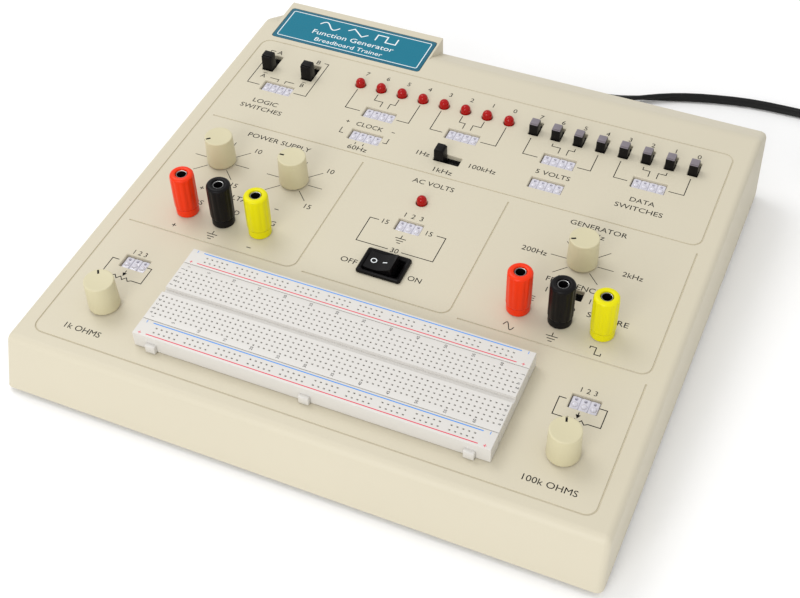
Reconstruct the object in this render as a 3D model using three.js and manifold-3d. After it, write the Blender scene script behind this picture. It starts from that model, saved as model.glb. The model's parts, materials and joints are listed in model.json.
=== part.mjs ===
// Breadboard trainer with a built-in function generator: a sloping desk case whose panel carries
// a solderless breadboard, knobs, binding posts, slide switches, indicator lights, wire connectors,
// a mains rocker switch and a nameplate. Millimetres, +Z up, the operator stands at -Y.
import * as THREE from 'three';
import { mergeVertices } from 'three/addons/utils/BufferGeometryUtils.js';
import Module from 'manifold-3d';

const wasm = await Module();
wasm.setup();

// ---- Driving dimensions -------------------------------------------------------------------

const gap = 0.3; // clearance between neighbouring pieces

// Case. Panel coordinates: x from the middle, y back from the front crease, z up from the panel.
const caseHalfWidth = 138.6; // at the panel
const caseFlare = 0.041; // sideways growth of each side wall per millimetre below the panel
const panelDepth = 252.5; // front crease to the start of the rear slope
const panelTilt = THREE.MathUtils.degToRad(4.63);
const frontFoot = { y: -8, z: -26 }; // lower edge of the front wall
const rearSlopeEnd = { y: 271.5, z: -10 }; // the rear slope meets the rear wall here
const rearFoot = { y: 268.5, z: -48.4 }; // lower edge of the rear wall
const wall = 2.5;
const footHeight = 2.5; // the case's lower edge above the desk
const edgeRadius = 3;

// Breadboard
const holePitch = 2.54;
const boardLength = 165.1;
const boardHeight = 8.5;
const boardCentre = { x: 0.15, y: 44.5 };
const terminalDepth = 35.8;
const busDepth = 9.1;

// Rows of controls, as y on the panel
const switchRowY = 217.2;
const lightRowY = 217.8;
const upperConnectorY = 199.1;
const lowerConnectorY = 180.7;
const supplyKnobY = 137.5;
const postY = 100.1;
const frontKnobY = 32.5;
const frontConnectorY = 60.1;
const rocker = { x: -0.8, y: 101.1 };

// Slide switches
const dataSwitch = { firstX: 31.6, pitch: 11.66, count: 8, width: 5, length: 10.7 };
const logicSwitch = { columns: [-116.6, -93.8], width: 6.2, length: 13.4 };
const sidewaysSwitch = { width: 6.2, length: 13.4 };
const clockSwitch = { x: -1.2, y: 180.5 };
const rangeSwitch = { x: 82.4, y: 117.5 };
const sliderTop = 6.6;
const logicSliderTop = 8.8;
const sliderBottom = -4.3;

// Lights
const light = { firstX: -65.2, pitch: 11.79, count: 8, radius: 2.5, height: 4 };
const powerLight = { x: -1.1, y: 146.9 };

// Wire connectors
const connector = { cell: 4.1, depth: 7.4, top: -1.2 };

// Knobs, one to each potentiometer
const knob = { skirtRadius: 7.2, topRadius: 6.8, height: 16.2, shaftRadius: 3 };

// Binding posts
const post = {
  pitch: 19.4,
  ringRadius: 5.45,
  capRadius: 5.8,
  height: 24,
  ringHeight: 4.2,
  studRadius: 2.6,
  boreRadius: 2,
};
const supplyPostX = -83.2;
const generatorPostX = 84;

// Nameplate and the level tab that carries it
const tab = { left: -130.6, right: -40.1, back: 271.2 };
const label = { left: -128.4, right: -41.4, front: 239, back: 266, recess: 0.8, thickness: 0.5 };

// Circuit board under the panel
const circuit = { top: -11, thickness: 1.6, halfWidth: 124, front: 16, back: 236 };

// Mains cord
const cordRadius = 2.5;
const cordExit = { x: 25, height: 18 };
const reliefLength = 24;
const coil = { x: 204, y: 185.8, meanRadius: 29.2, halfWidth: 7.3, layers: 2 };
const coilOuter = coil.meanRadius + coil.halfWidth;

// ---- Frames -------------------------------------------------------------------------------

// The desk frame has z = 0 at the soles of the feet and y = 0 at the middle of the footprint.
const panelToDesk = new THREE.Matrix4().makeRotationX(panelTilt);

function onDesk(x, y, z) {
  return new THREE.Vector3(x, y, z).applyMatrix4(panelToDesk);
}

const lowestFront = onDesk(0, frontFoot.y, frontFoot.z);
const furthestBack = onDesk(0, rearSlopeEnd.y, rearSlopeEnd.z);
const panelOrigin = new THREE.Vector3(0, -(lowestFront.y + furthestBack.y) / 2, footHeight - lowestFront.z);
const rearWallY = furthestBack.y + panelOrigin.y;
const frontEdgeY = lowestFront.y + panelOrigin.y;

const trainer = new THREE.Group();
const panel = new THREE.Group();
panel.position.copy(panelOrigin);
panel.rotation.x = panelTilt;
panel.updateMatrix();
trainer.add(panel);
const deskToPanel = panel.matrix.clone().invert();

// ---- Materials ----------------------------------------------------------------------------

function finish(color, roughness, metalness = 0) {
  return new THREE.MeshStandardMaterial({ color, roughness, metalness });
}

const casePlastic = finish(0xd8d0bc, 0.55);
const knobPlastic = finish(0xbeb696, 0.45);
const labelFilm = finish(0x3687a0, 0.4);
const blackPlastic = finish(0x1e1c1c, 0.4);
const redPlastic = finish(0xfa4619, 0.35);
const yellowPlastic = finish(0xe1dc14, 0.35);
const redLens = finish(0xbe0f14, 0.15);
const boardPlastic = finish(0xebe6e4, 0.5);
const circuitResin = finish(0x2f6b3c, 0.6);
const coreSteel = finish(0x6e6e70, 0.5, 0.8);
const screwSteel = finish(0xb4b4b4, 0.35, 1);
const footRubber = finish(0x2a2a2a, 0.9);
const cordSheath = finish(0x141414, 0.45);

// ---- Shape helpers ------------------------------------------------------------------------

function solidOf(geometry) {
  const bare = geometry.clone();
  bare.deleteAttribute('normal');
  bare.deleteAttribute('uv');
  const merged = mergeVertices(bare, 1e-4);
  const vertProperties = new Float32Array(merged.attributes.position.array);
  const triVerts = new Uint32Array(merged.index.array);
  return new wasm.Manifold(new wasm.Mesh({ numProp: 3, vertProperties, triVerts }));
}

function geometryOf(solid) {
  const mesh = solid.getMesh();
  const geometry = new THREE.BufferGeometry();
  geometry.setAttribute('position', new THREE.BufferAttribute(mesh.vertProperties, 3));
  geometry.setIndex(new THREE.BufferAttribute(mesh.triVerts, 1));
  return geometry;
}

function joined(pieces) {
  return pieces.map(solidOf).reduce((sum, piece) => sum.add(piece));
}

function cutFrom(solid, tools) {
  return tools.map(solidOf).reduce((rest, tool) => rest.subtract(tool), solid);
}

// A block standing on z = bottom, with its middle at (x, y)
function block(width, depth, bottom, top, x = 0, y = 0) {
  return new THREE.BoxGeometry(width, depth, top - bottom).translate(x, y, (top + bottom) / 2);
}

function disc(radius, bottom, top, x = 0, y = 0, sides = 20) {
  const geometry = new THREE.CylinderGeometry(radius, radius, top - bottom, sides);
  return geometry.rotateX(Math.PI / 2).translate(x, y, (top + bottom) / 2);
}

// A turned piece about +Z from [radius, height] pairs, listed from the bottom up the outside
function turned(profile, sides) {
  const points = profile.map(([radius, height]) => new THREE.Vector2(radius, height));
  return new THREE.LatheGeometry(points, sides).rotateX(Math.PI / 2);
}

// A prism along X from a [y, z] outline
function prismAcross(outline, left, right) {
  const shape = new THREE.Shape(outline.map(([y, z]) => new THREE.Vector2(y, z)));
  const geometry = new THREE.ExtrudeGeometry(shape, { depth: right - left, bevelEnabled: false });
  geometry.rotateX(Math.PI / 2).rotateZ(Math.PI / 2);
  return geometry.translate(left, 0, 0);
}

// An outline with each corner replaced by a short arc
function roundedOutline(corners, radius, steps = 3) {
  const points = [];
  corners.forEach(([y, z], index) => {
    const corner = new THREE.Vector2(y, z);
    const before = new THREE.Vector2(...corners.at(index - 1)).sub(corner).setLength(radius);
    const after = new THREE.Vector2(...corners[(index + 1) % corners.length]).sub(corner).setLength(radius);
    const curve = new THREE.QuadraticBezierCurve(before.add(corner), corner, after.add(corner));
    curve.getPoints(steps).forEach((point) => points.push([point.x, point.y]));
  });
  return points;
}

function addPart(parent, name, geometry, material, x = 0, y = 0, z = 0) {
  const mesh = new THREE.Mesh(geometry, material);
  mesh.name = name;
  mesh.position.set(x, y, z);
  parent.add(mesh);
}

// ---- Case ---------------------------------------------------------------------------------

// The side walls lean outward below the panel
function flared(geometry, halfWidth) {
  const position = geometry.attributes.position;
  for (let i = 0; i < position.count; i += 1) {
    const side = Math.sign(position.getX(i));
    position.setX(i, side * (halfWidth - caseFlare * position.getZ(i)));
  }
  return geometry;
}

function caseOutside() {
  const corners = [
    [frontFoot.y, frontFoot.z],
    [rearFoot.y, rearFoot.z],
    [rearSlopeEnd.y, rearSlopeEnd.z],
    [panelDepth, 0],
    [0, 0],
  ];
  const upper = roundedOutline(corners, edgeRadius).slice(8);
  const outline = [corners[0], corners[1], ...upper];
  return flared(prismAcross(outline, -1, 1), caseHalfWidth);
}

// The hollow runs on below the case's lower edges, so that the case is open underneath
function caseInside() {
  const below = 14;
  const frontSlope = frontFoot.y / frontFoot.z;
  const rearSlope = (rearSlopeEnd.y - rearFoot.y) / (rearSlopeEnd.z - rearFoot.z);
  const outline = [
    [frontFoot.y + wall - below * frontSlope, frontFoot.z - below],
    [rearFoot.y - wall - below * rearSlope, rearFoot.z - below],
    [rearSlopeEnd.y - wall, rearSlopeEnd.z - 1.4],
    [panelDepth - 0.8, -wall],
    [wall, -wall],
  ];
  return flared(prismAcross(outline, -1, 1), caseHalfWidth - wall);
}

const bossRadius = 4;
const screwColumns = [-126, 126];
const screwRows = [frontEdgeY + 16, rearWallY - 16];
const screwPlaces = screwRows.flatMap((y) => screwColumns.map((x) => ({ x, y })));
const plate = { bottom: footHeight, top: footHeight + wall };

// Screw bosses stand straight up from the base plate and run into the panel
function bosses() {
  return screwPlaces.map(({ x, y }) => {
    const panelHeight = panelOrigin.z + (y - panelOrigin.y) * Math.tan(panelTilt);
    const top = y > 0 ? panelHeight - 5 : panelHeight - 1.4;
    return disc(bossRadius, plate.top + gap, top, x, y, 16).applyMatrix4(deskToPanel);
  });
}

function pilotHoles() {
  return screwPlaces.map(({ x, y }) => disc(1.6, plate.top, plate.top + 13, x, y, 12).applyMatrix4(deskToPanel));
}

function tabBlock() {
  const outline = [
    [panelDepth - 6, -1],
    [panelDepth - 6, -wall - 3],
    [tab.back - 1, rearSlopeEnd.z - 1],
    [tab.back, rearSlopeEnd.z],
    [tab.back, -1],
    [tab.back - 1, 0],
    [panelDepth - 5, 0],
  ];
  return prismAcross(outline.reverse(), tab.left, tab.right);
}

const knobPlaces = [
  { name: 'positive_supply', x: -104.3, y: supplyKnobY },
  { name: 'negative_supply', x: -64.5, y: supplyKnobY },
  { name: 'generator', x: 82.1, y: supplyKnobY },
  { name: '1k', x: -107.2, y: frontKnobY },
  { name: '100k', x: 108.2, y: frontKnobY },
];

const connectorPlaces = [
  { x: -104.85, y: upperConnectorY, cells: 4 },
  { x: -46.45, y: upperConnectorY, cells: 4 },
  { x: -0.8, y: upperConnectorY, cells: 4 },
  { x: 49.9, y: upperConnectorY, cells: 4 },
  { x: 95.7, y: upperConnectorY, cells: 4 },
  { x: -46, y: lowerConnectorY, cells: 4 },
  { x: 49.9, y: lowerConnectorY, cells: 4 },
  { x: -0.35, y: 129.5, cells: 3 },
  { x: -108, y: frontConnectorY, cells: 3 },
  { x: 108.45, y: frontConnectorY, cells: 3 },
];

const lightPlaces = Array.from({ length: light.count }, (_, i) => ({
  name: `led_${light.count - 1 - i}`,
  x: light.firstX + i * light.pitch,
  y: lightRowY,
}));
lightPlaces.push({ name: 'power_led', ...powerLight });

// Each slide switch: its slot on the panel and the way its slider runs
const switchPlaces = [
  ...logicSwitch.columns.map((x, i) => ({
    name: `logic_slider_${'ab'[i]}`,
    x,
    y: switchRowY,
    slotX: logicSwitch.width,
    slotY: logicSwitch.length,
    top: logicSliderTop,
  })),
  ...Array.from({ length: dataSwitch.count }, (_, i) => ({
    name: `data_slider_${dataSwitch.count - 1 - i}`,
    x: dataSwitch.firstX + i * dataSwitch.pitch,
    y: switchRowY + (logicSwitch.length - dataSwitch.length) / 2,
    slotX: dataSwitch.width,
    slotY: dataSwitch.length,
  })),
  { name: 'clock_slider', ...clockSwitch, slotX: sidewaysSwitch.length, slotY: sidewaysSwitch.width },
  { name: 'range_slider', ...rangeSwitch, slotX: sidewaysSwitch.length, slotY: sidewaysSwitch.width },
];

const postPlaces = [supplyPostX, generatorPostX].flatMap((middle, set) =>
  ['red', 'black', 'yellow'].map((colour, i) => ({
    name: `${['supply', 'generator'][set]}_${colour}`,
    material: [redPlastic, blackPlastic, yellowPlastic][i],
    x: middle + (i - 1) * post.pitch,
    y: postY,
  })),
);

const rockerBody = { width: 19, depth: 13 };

function panelOpenings() {
  const low = -wall - 3;
  const high = 2;
  const connectorWindow = ({ x, y, cells }) =>
    block(cells * connector.cell + 2 * gap, connector.depth + 2 * gap, low, high, x, y);
  return [
    ...connectorPlaces.map(connectorWindow),
    ...switchPlaces.map(({ x, y, slotX, slotY }) => block(slotX, slotY, low, high, x, y)),
    ...lightPlaces.map(({ x, y }) => disc(light.radius + gap, low, high, x, y, 16)),
    ...knobPlaces.map(({ x, y }) => disc(knob.shaftRadius + gap, low, high, x, y, 16)),
    ...postPlaces.map(({ x, y }) => disc(post.studRadius + gap, low, high, x, y, 16)),
    block(rockerBody.width + 2 * gap, rockerBody.depth + 2 * gap, low, high, rocker.x, rocker.y),
  ];
}

function labelBlock(margin, bottom, top) {
  const width = label.right - label.left + 2 * margin;
  const depth = label.back - label.front + 2 * margin;
  const x = (label.right + label.left) / 2;
  return block(width, depth, bottom, top, x, (label.back + label.front) / 2);
}

const reliefNeckRadius = 3.9;

function cordHole() {
  const hole = new THREE.CylinderGeometry(reliefNeckRadius + gap, reliefNeckRadius + gap, 12, 16);
  return hole.translate(cordExit.x, rearWallY, cordExit.height).applyMatrix4(deskToPanel);
}

function topCase() {
  const shell = solidOf(caseOutside()).subtract(solidOf(caseInside()));
  const withTab = shell.add(solidOf(tabBlock())).add(joined(bosses()));
  const cuts = [...panelOpenings(), labelBlock(gap, -label.recess, 2), cordHole(), ...pilotHoles()];
  return geometryOf(cutFrom(withTab, cuts));
}

addPart(panel, 'top_case', topCase(), casePlastic);
const labelBottom = -label.recess + gap;
addPart(panel, 'nameplate', labelBlock(0, labelBottom, labelBottom + label.thickness), labelFilm);

// ---- Underside ----------------------------------------------------------------------------

const screw = { headRadius: 3, headBottom: 2.8, headTop: 4.1, shankRadius: 1.2, length: 12 };

function basePlate() {
  const clear = wall + 2 * gap;
  const front = frontEdgeY + clear + 1; // the front wall leans back over the plate
  const back = rearWallY - clear;
  const halfWidth = caseHalfWidth - caseFlare * frontFoot.z - clear;
  const body = solidOf(block(2 * halfWidth, back - front, plate.bottom, plate.top, 0, (front + back) / 2));
  const headPocket = ({ x, y }) => disc(screw.headRadius + gap, plate.bottom - 1, screw.headTop + gap, x, y);
  const shankHole = ({ x, y }) => disc(screw.shankRadius + gap, plate.bottom - 1, plate.top + 1, x, y, 12);
  return geometryOf(cutFrom(body, [...screwPlaces.map(headPocket), ...screwPlaces.map(shankHole)]));
}

addPart(trainer, 'base_plate', basePlate(), casePlastic);

const screwProfile = [
  [0, screw.headBottom],
  [screw.headRadius, screw.headBottom],
  [screw.headRadius, screw.headTop],
  [screw.shankRadius, screw.headTop],
  [screw.shankRadius, screw.length],
  [0, screw.length],
];
screwPlaces.forEach(({ x, y }, i) => {
  addPart(trainer, `case_screw_${i + 1}`, turned(screwProfile, 12), screwSteel, x, y);
});

const footPlaces = [-1, 1].flatMap((side) =>
  [-112, 112].map((x) => ({ x, y: side > 0 ? rearWallY - 26 : frontEdgeY + 26 })),
);
const footProfile = [
  [0, 0],
  [5.4, 0],
  [6.5, 1.2],
  [6.5, footHeight - gap],
  [0, footHeight - gap],
];
footPlaces.forEach(({ x, y }, i) => {
  addPart(trainer, `foot_${i + 1}`, turned(footProfile, 20), footRubber, x, y);
});

// ---- Inside -------------------------------------------------------------------------------

function mainBoard() {
  const { top, thickness, halfWidth, front, back } = circuit;
  const seat = top - 0.4; // pieces sink into the board a little, so that they join it
  const under = top - thickness;
  const board = block(2 * halfWidth, back - front, under, top, 0, (front + back) / 2);
  const socket = ({ x, y, cells }) => block(cells * connector.cell, connector.depth, seat, connector.top, x, y);
  const potentiometer = ({ x, y }) => block(16, 16, seat, -4, x, y);
  const switchBody = ({ x, y, slotX, slotY }) => block(slotX + 3, slotY + 3, seat, sliderBottom - gap, x, y);
  const capacitors = [52, 66].map((x) => disc(5.5, under - 14, under + 0.4, x, 216, 16));
  const heatSink = block(30, 14, under - 13, under + 0.4, 92, 216);
  const body = joined([
    board,
    ...connectorPlaces.map(socket),
    ...knobPlaces.map(potentiometer),
    ...switchPlaces.filter(({ slotX, slotY }) => slotX > slotY || slotX === logicSwitch.width).map(switchBody),
    block(dataSwitch.pitch * 7 + 9, dataSwitch.length + 3, seat, sliderBottom - gap,
      dataSwitch.firstX + dataSwitch.pitch * 3.5, switchPlaces[2].y),
    ...capacitors,
    heatSink,
  ]);
  const rockerHole = block(rockerBody.width + 2, rockerBody.depth + 2, under - 1, top + 1, rocker.x, rocker.y);
  return geometryOf(cutFrom(body, [rockerHole]));
}

addPart(panel, 'main_board', mainBoard(), circuitResin);

function transformer() {
  const bottom = plate.top + gap;
  return geometryOf(joined([
    block(62, 22, bottom, bottom + 1.4),
    block(46, 22, bottom, bottom + 25),
    block(28, 36, bottom + 3, bottom + 22),
  ]));
}

addPart(trainer, 'transformer', transformer(), coreSteel, -70, rearWallY - 50);

// ---- Breadboard ---------------------------------------------------------------------------

function terminalStrip() {
  const body = solidOf(block(boardLength, terminalDepth, gap, boardHeight));
  const groove = block(boardLength + 2, 3, boardHeight - 4, boardHeight + 1);
  return geometryOf(cutFrom(body, [groove]));
}

const tabColumns = [-29, 0, 29].map((columns) => columns * holePitch);

// Locking tabs stick out of the front of the front strip
function frontBusStrip() {
  const body = block(boardLength, busDepth, gap, boardHeight);
  const tabs = tabColumns.map((x) => block(4.8, 3.5, gap, 6, x, -busDepth / 2 - 0.7));
  return geometryOf(joined([body, ...tabs]));
}

const busOffset = (terminalDepth + busDepth) / 2 + gap;
addPart(panel, 'terminal_strip', terminalStrip(), boardPlastic, boardCentre.x, boardCentre.y);
addPart(panel, 'bus_strip_front', frontBusStrip(), boardPlastic, boardCentre.x, boardCentre.y - busOffset);
const rearBusStrip = block(boardLength, busDepth, gap, boardHeight);
addPart(panel, 'bus_strip_rear', rearBusStrip, boardPlastic, boardCentre.x, boardCentre.y + busOffset);

// ---- Lights -------------------------------------------------------------------------------

function ledBody() {
  const domeBase = light.height - light.radius;
  const dome = [1, 2, 3, 4].map((step) => {
    const angle = (step / 4) * (Math.PI / 2);
    return [light.radius * Math.cos(angle), domeBase + light.radius * Math.sin(angle)];
  });
  dome[3][0] = 0;
  const profile = [[0, circuit.top + gap], [light.radius, circuit.top + gap], [light.radius, domeBase], ...dome];
  return turned(profile, 16);
}

lightPlaces.forEach(({ name, x, y }) => addPart(panel, name, ledBody(), redLens, x, y));

// ---- Slide switches -----------------------------------------------------------------------

const sliderEndGap = 0.4;

// At rest the slider is at the front end of its slot, or at the left end of a sideways slot
function slider(across, along, top) {
  const tip = 1.2;
  const stem = block(across, along, sliderBottom, top - tip);
  const cap = block(across - 0.6, along - 1.6, top - tip - 0.5, top);
  return joined([stem, cap]);
}

switchPlaces.forEach(({ name, x, y, slotX, slotY, top = sliderTop }) => {
  const across = Math.min(slotX, slotY) - 2 * gap;
  const along = 5;
  const shift = (Math.max(slotX, slotY) - along) / 2 - sliderEndGap;
  if (slotX > slotY) {
    const geometry = geometryOf(slider(across, along, top)).rotateZ(Math.PI / 2);
    addPart(panel, name, geometry, blackPlastic, x - shift, y);
  } else {
    addPart(panel, name, geometryOf(slider(across, along, top)), blackPlastic, x, y - shift);
  }
});

// ---- Knobs --------------------------------------------------------------------------------

const knobProfile = [
  [0, -4 + gap],
  [knob.shaftRadius, -4 + gap],
  [knob.shaftRadius, 0.8],
  [knob.skirtRadius, 0.8],
  [knob.topRadius, knob.height - 0.7],
  [knob.topRadius - 0.7, knob.height],
  [0, knob.height],
];
knobPlaces.forEach(({ name, x, y }) => {
  addPart(panel, `knob_${name}`, turned(knobProfile, 24), knobPlastic, x, y);
});

// ---- Binding posts ------------------------------------------------------------------------

const postBaseProfile = [
  [0, -9],
  [post.studRadius, -9],
  [post.studRadius, gap],
  [post.ringRadius, gap],
  [post.ringRadius, post.ringHeight],
  [post.studRadius, post.ringHeight],
  [post.studRadius, post.height - 0.6],
  [post.boreRadius, post.height - 0.6],
  [post.boreRadius, 8],
  [0, 8],
];
const capBore = post.studRadius + gap;
const postCapProfile = [
  [capBore, post.ringHeight + gap],
  [post.capRadius, post.ringHeight + gap],
  [post.capRadius, post.height - 1.6],
  [post.capRadius - 1.2, post.height],
  [capBore, post.height],
  [capBore, post.ringHeight + gap],
];
postPlaces.forEach(({ name, material, x, y }) => {
  addPart(panel, `post_base_${name}`, turned(postBaseProfile, 20), material, x, y);
  addPart(panel, `post_cap_${name}`, turned(postCapProfile, 20), material, x, y);
});

// ---- Rocker switch ------------------------------------------------------------------------

const rockerCavity = { width: 17.4, depth: 11.4, floor: -9 };
const rockerTilt = THREE.MathUtils.degToRad(10);
const rockerPivotZ = -4;

function rockerHousing() {
  const bezel = block(22, 15.8, gap, 2.2);
  const body = block(rockerBody.width, rockerBody.depth, -20, 1);
  const cavity = block(rockerCavity.width, rockerCavity.depth, rockerCavity.floor, 4);
  return geometryOf(cutFrom(joined([bezel, body]), [cavity]));
}

// A see-saw key seen along its pivot: two high ends and a dished middle, its left end pressed
function rockerButton() {
  const reach = 6.9;
  const endHeight = 8;
  const outline = [
    [-reach, endHeight],
    [-reach + 0.9, 0],
    [0, -2.4],
    [reach - 0.9, 0],
    [reach, endHeight],
    [reach / 2, endHeight - 1.2],
    [0, endHeight - 1.6],
    [-reach / 2, endHeight - 1.2],
  ];
  const depth = rockerCavity.depth - 2 * 0.4;
  const shape = new THREE.Shape(outline.map(([x, z]) => new THREE.Vector2(x, z)));
  const key = new THREE.ExtrudeGeometry(shape, { depth, bevelEnabled: false });
  key.rotateX(Math.PI / 2).translate(0, depth / 2, 0);
  return key.rotateY(-rockerTilt);
}

addPart(panel, 'rocker_housing', rockerHousing(), blackPlastic, rocker.x, rocker.y);
addPart(panel, 'rocker_button', rockerButton(), blackPlastic, rocker.x, rocker.y, rockerPivotZ);

// ---- Mains cord ---------------------------------------------------------------------------

const reliefProfile = [
  [0, -5],
  [reliefNeckRadius, -5],
  [reliefNeckRadius, gap],
  [6.2, gap],
  [6.2, 2],
  [4.6, 2.6],
  [3, reliefLength],
  [0, reliefLength],
];
const relief = turned(reliefProfile, 16).rotateX(-Math.PI / 2);
addPart(trainer, 'strain_relief', relief, blackPlastic, cordExit.x, rearWallY, cordExit.height);

// Out of the strain relief, down to the desk behind the case and away to the right
const cordStartY = rearWallY + reliefLength + gap;
const onFloor = cordRadius + 0.1;
const cordRoute = [
  [cordExit.x, cordStartY, cordExit.height],
  [cordExit.x, cordStartY + 3, cordExit.height],
  [cordExit.x + 3.4, cordStartY + 10.5, 14.6],
  [cordExit.x + 10.5, cordStartY + 17.5, 9.6],
  [cordExit.x + 19, cordStartY + 24, 5.4],
  [54, 193.3, 3.2],
  [70, 202.4, onFloor],
  [92, 211.2, onFloor],
  [119, 217.8, onFloor],
  [147, 219.6, onFloor],
  [166, 219.5, onFloor],
  [coil.x - 19.8, coil.y + coilOuter - cordRadius, onFloor],
];
const cordCurve = new THREE.CatmullRomCurve3(cordRoute.map((point) => new THREE.Vector3(...point)));

function cordSection() {
  const section = new THREE.Shape();
  const sides = 8;
  for (let i = 0; i < sides; i += 1) {
    const angle = ((i + 0.5) / sides) * 2 * Math.PI;
    section[i === 0 ? 'moveTo' : 'lineTo'](cordRadius * Math.cos(angle), cordRadius * Math.sin(angle));
  }
  section.closePath();
  return section;
}

// The run meets the outermost turn of the coil along its tangent and stops at the coil's surface
const cordSteps = 24;
const cordRun = new THREE.ExtrudeGeometry(cordSection(), {
  steps: cordSteps,
  bevelEnabled: false,
  extrudePath: cordCurve,
});
addPart(trainer, 'cord_run', cordRun, cordSheath);

const coilInner = coil.meanRadius - coil.halfWidth;
const coilHeight = 2 * coil.layers * cordRadius;
const coilProfile = [
  [coilInner, 0.1],
  [coilOuter, 0.1],
  [coilOuter, coilHeight],
  [coilInner, coilHeight],
  [coilInner, 0.1],
];
addPart(trainer, 'cord_coil', turned(coilProfile, 32), cordSheath, coil.x, coil.y);

// A moulded two-blade plug lying in front of the coil, with its blades towards the operator
function mainsPlug() {
  const grip = block(24, 26, 1, 17);
  const nose = block(17, 6, 3, 15, 0, -15);
  const tail = new THREE.CylinderGeometry(3, 4.6, 16, 12).translate(0, 20, 7);
  const blades = [-6.35, 6.35].map((x) => block(1.5, 17, 5.8, 12.2, x, -26));
  return geometryOf(joined([grip, nose, tail, ...blades]));
}

addPart(trainer, 'plug', mainsPlug(), blackPlastic, coil.x + coilOuter - cordRadius, coil.y - 73);

export default trainer;
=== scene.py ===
"""A breadboard trainer with a built-in function generator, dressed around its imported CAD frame.

The panel frame holds most of the work: x from the panel's middle, y back from its front crease and
z up from its surface, in millimetres. The desk frame is the row frame, in millimetres as well.
"""

import json
import math

import bmesh
import bpy
from mathutils import Matrix, Vector


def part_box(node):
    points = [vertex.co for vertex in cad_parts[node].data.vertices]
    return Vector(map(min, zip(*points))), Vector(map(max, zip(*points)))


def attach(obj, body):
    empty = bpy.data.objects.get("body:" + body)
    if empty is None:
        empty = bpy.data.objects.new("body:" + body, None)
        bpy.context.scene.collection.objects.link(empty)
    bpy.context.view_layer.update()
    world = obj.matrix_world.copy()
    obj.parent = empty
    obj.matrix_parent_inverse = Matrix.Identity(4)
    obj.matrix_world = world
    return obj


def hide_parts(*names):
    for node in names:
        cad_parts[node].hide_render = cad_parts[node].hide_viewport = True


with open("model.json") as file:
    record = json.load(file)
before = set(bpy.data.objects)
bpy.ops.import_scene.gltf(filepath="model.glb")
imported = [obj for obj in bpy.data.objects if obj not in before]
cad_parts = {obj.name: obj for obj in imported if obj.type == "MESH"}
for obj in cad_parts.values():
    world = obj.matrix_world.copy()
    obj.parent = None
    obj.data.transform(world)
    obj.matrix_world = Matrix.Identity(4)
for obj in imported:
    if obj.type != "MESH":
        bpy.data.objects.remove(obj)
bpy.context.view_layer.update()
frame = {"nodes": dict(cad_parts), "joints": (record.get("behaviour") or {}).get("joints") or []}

# ---- Frames ----------------------------------------------------------------------------------

MM = 0.001
JOINTS = {joint["name"]: joint for joint in frame["joints"]}
PANEL_UP = Vector(JOINTS["turn_generator_knob"]["axis"])
PANEL_TILT = math.atan2(-PANEL_UP.y, PANEL_UP.z)

# The case's side view in the panel frame, as y and z
FRONT_FOOT = (-8, -26)
REAR_SLOPE_TOP = (252.5, 0)
REAR_SLOPE_END = (271.5, -10)
REAR_FOOT = (268.5, -48.4)
CASE_HALF_WIDTH = 138.6
CASE_FLARE = 0.041
WALL = 2.5

DESK = Matrix.Scale(MM, 4)
PANEL_TURN = Matrix.Rotation(PANEL_TILT, 4, "X")
case_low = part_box("top_case")[0]
PANEL_ORIGIN = Vector((0, case_low.y, case_low.z)) - PANEL_TURN @ Vector((0, *FRONT_FOOT)) * MM
PANEL = Matrix.Translation(PANEL_ORIGIN) @ PANEL_TURN @ DESK


def span(node, matrix=PANEL):
    """The lowest and highest corner of a CAD node, in a frame in millimetres."""
    to_local = matrix.inverted()
    points = [to_local @ v.co for v in frame["nodes"][node].data.vertices]
    low = Vector([min(p[i] for p in points) for i in range(3)])
    high = Vector([max(p[i] for p in points) for i in range(3)])
    return low, high


def middle(node, matrix=PANEL):
    """The middle of a CAD node's box, in a frame in millimetres."""
    low, high = span(node, matrix)
    return (low + high) / 2


# ---- Materials -------------------------------------------------------------------------------


def linear(colour):
    """A display colour as 0 to 255 numbers, turned to the linear values a shader takes."""
    shares = [c / 255 for c in colour]
    return [c / 12.92 if c <= 0.04045 else ((c + 0.055) / 1.055) ** 2.4 for c in shares] + [1]


def noise(nodes, links, size, detail=2.0):
    """A noise texture whose blobs are about size metres wide."""
    texture = nodes.new("ShaderNodeTexNoise")
    texture.inputs["Scale"].default_value = 1 / size
    texture.inputs["Detail"].default_value = detail
    coords = nodes.new("ShaderNodeTexCoord")
    links.new(coords.outputs["Object"], texture.inputs["Vector"])
    return texture.outputs["Fac"]


def finish(name, colour, roughness, shade, grain, depth, patch, **sockets):
    """A moulded surface: broad tone changes over patch mm and a grain of grain mm, depth mm deep."""
    material = bpy.data.materials.new(name)
    material.use_nodes = True
    nodes, links = material.node_tree.nodes, material.node_tree.links
    shader = nodes["Principled BSDF"]
    for socket, value in sockets.items():
        shader.inputs[socket.replace("_", " ")].default_value = value
    base = linear(colour)
    tone = nodes.new("ShaderNodeMix")
    tone.data_type = "RGBA"
    tone.inputs["A"].default_value = [c * shade for c in base[:3]] + [1]
    tone.inputs["B"].default_value = base
    links.new(noise(nodes, links, patch * MM, 4), tone.inputs["Factor"])
    links.new(tone.outputs["Result"], shader.inputs["Base Color"])
    fine = noise(nodes, links, grain * MM)
    sheen = nodes.new("ShaderNodeMapRange")
    sheen.inputs["To Min"].default_value = roughness * 0.85
    sheen.inputs["To Max"].default_value = roughness * 1.15
    links.new(fine, sheen.inputs["Value"])
    links.new(sheen.outputs["Result"], shader.inputs["Roughness"])
    bump = nodes.new("ShaderNodeBump")
    bump.inputs["Distance"].default_value = depth * MM
    links.new(fine, bump.inputs["Height"])
    links.new(bump.outputs["Normal"], shader.inputs["Normal"])
    return material


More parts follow.
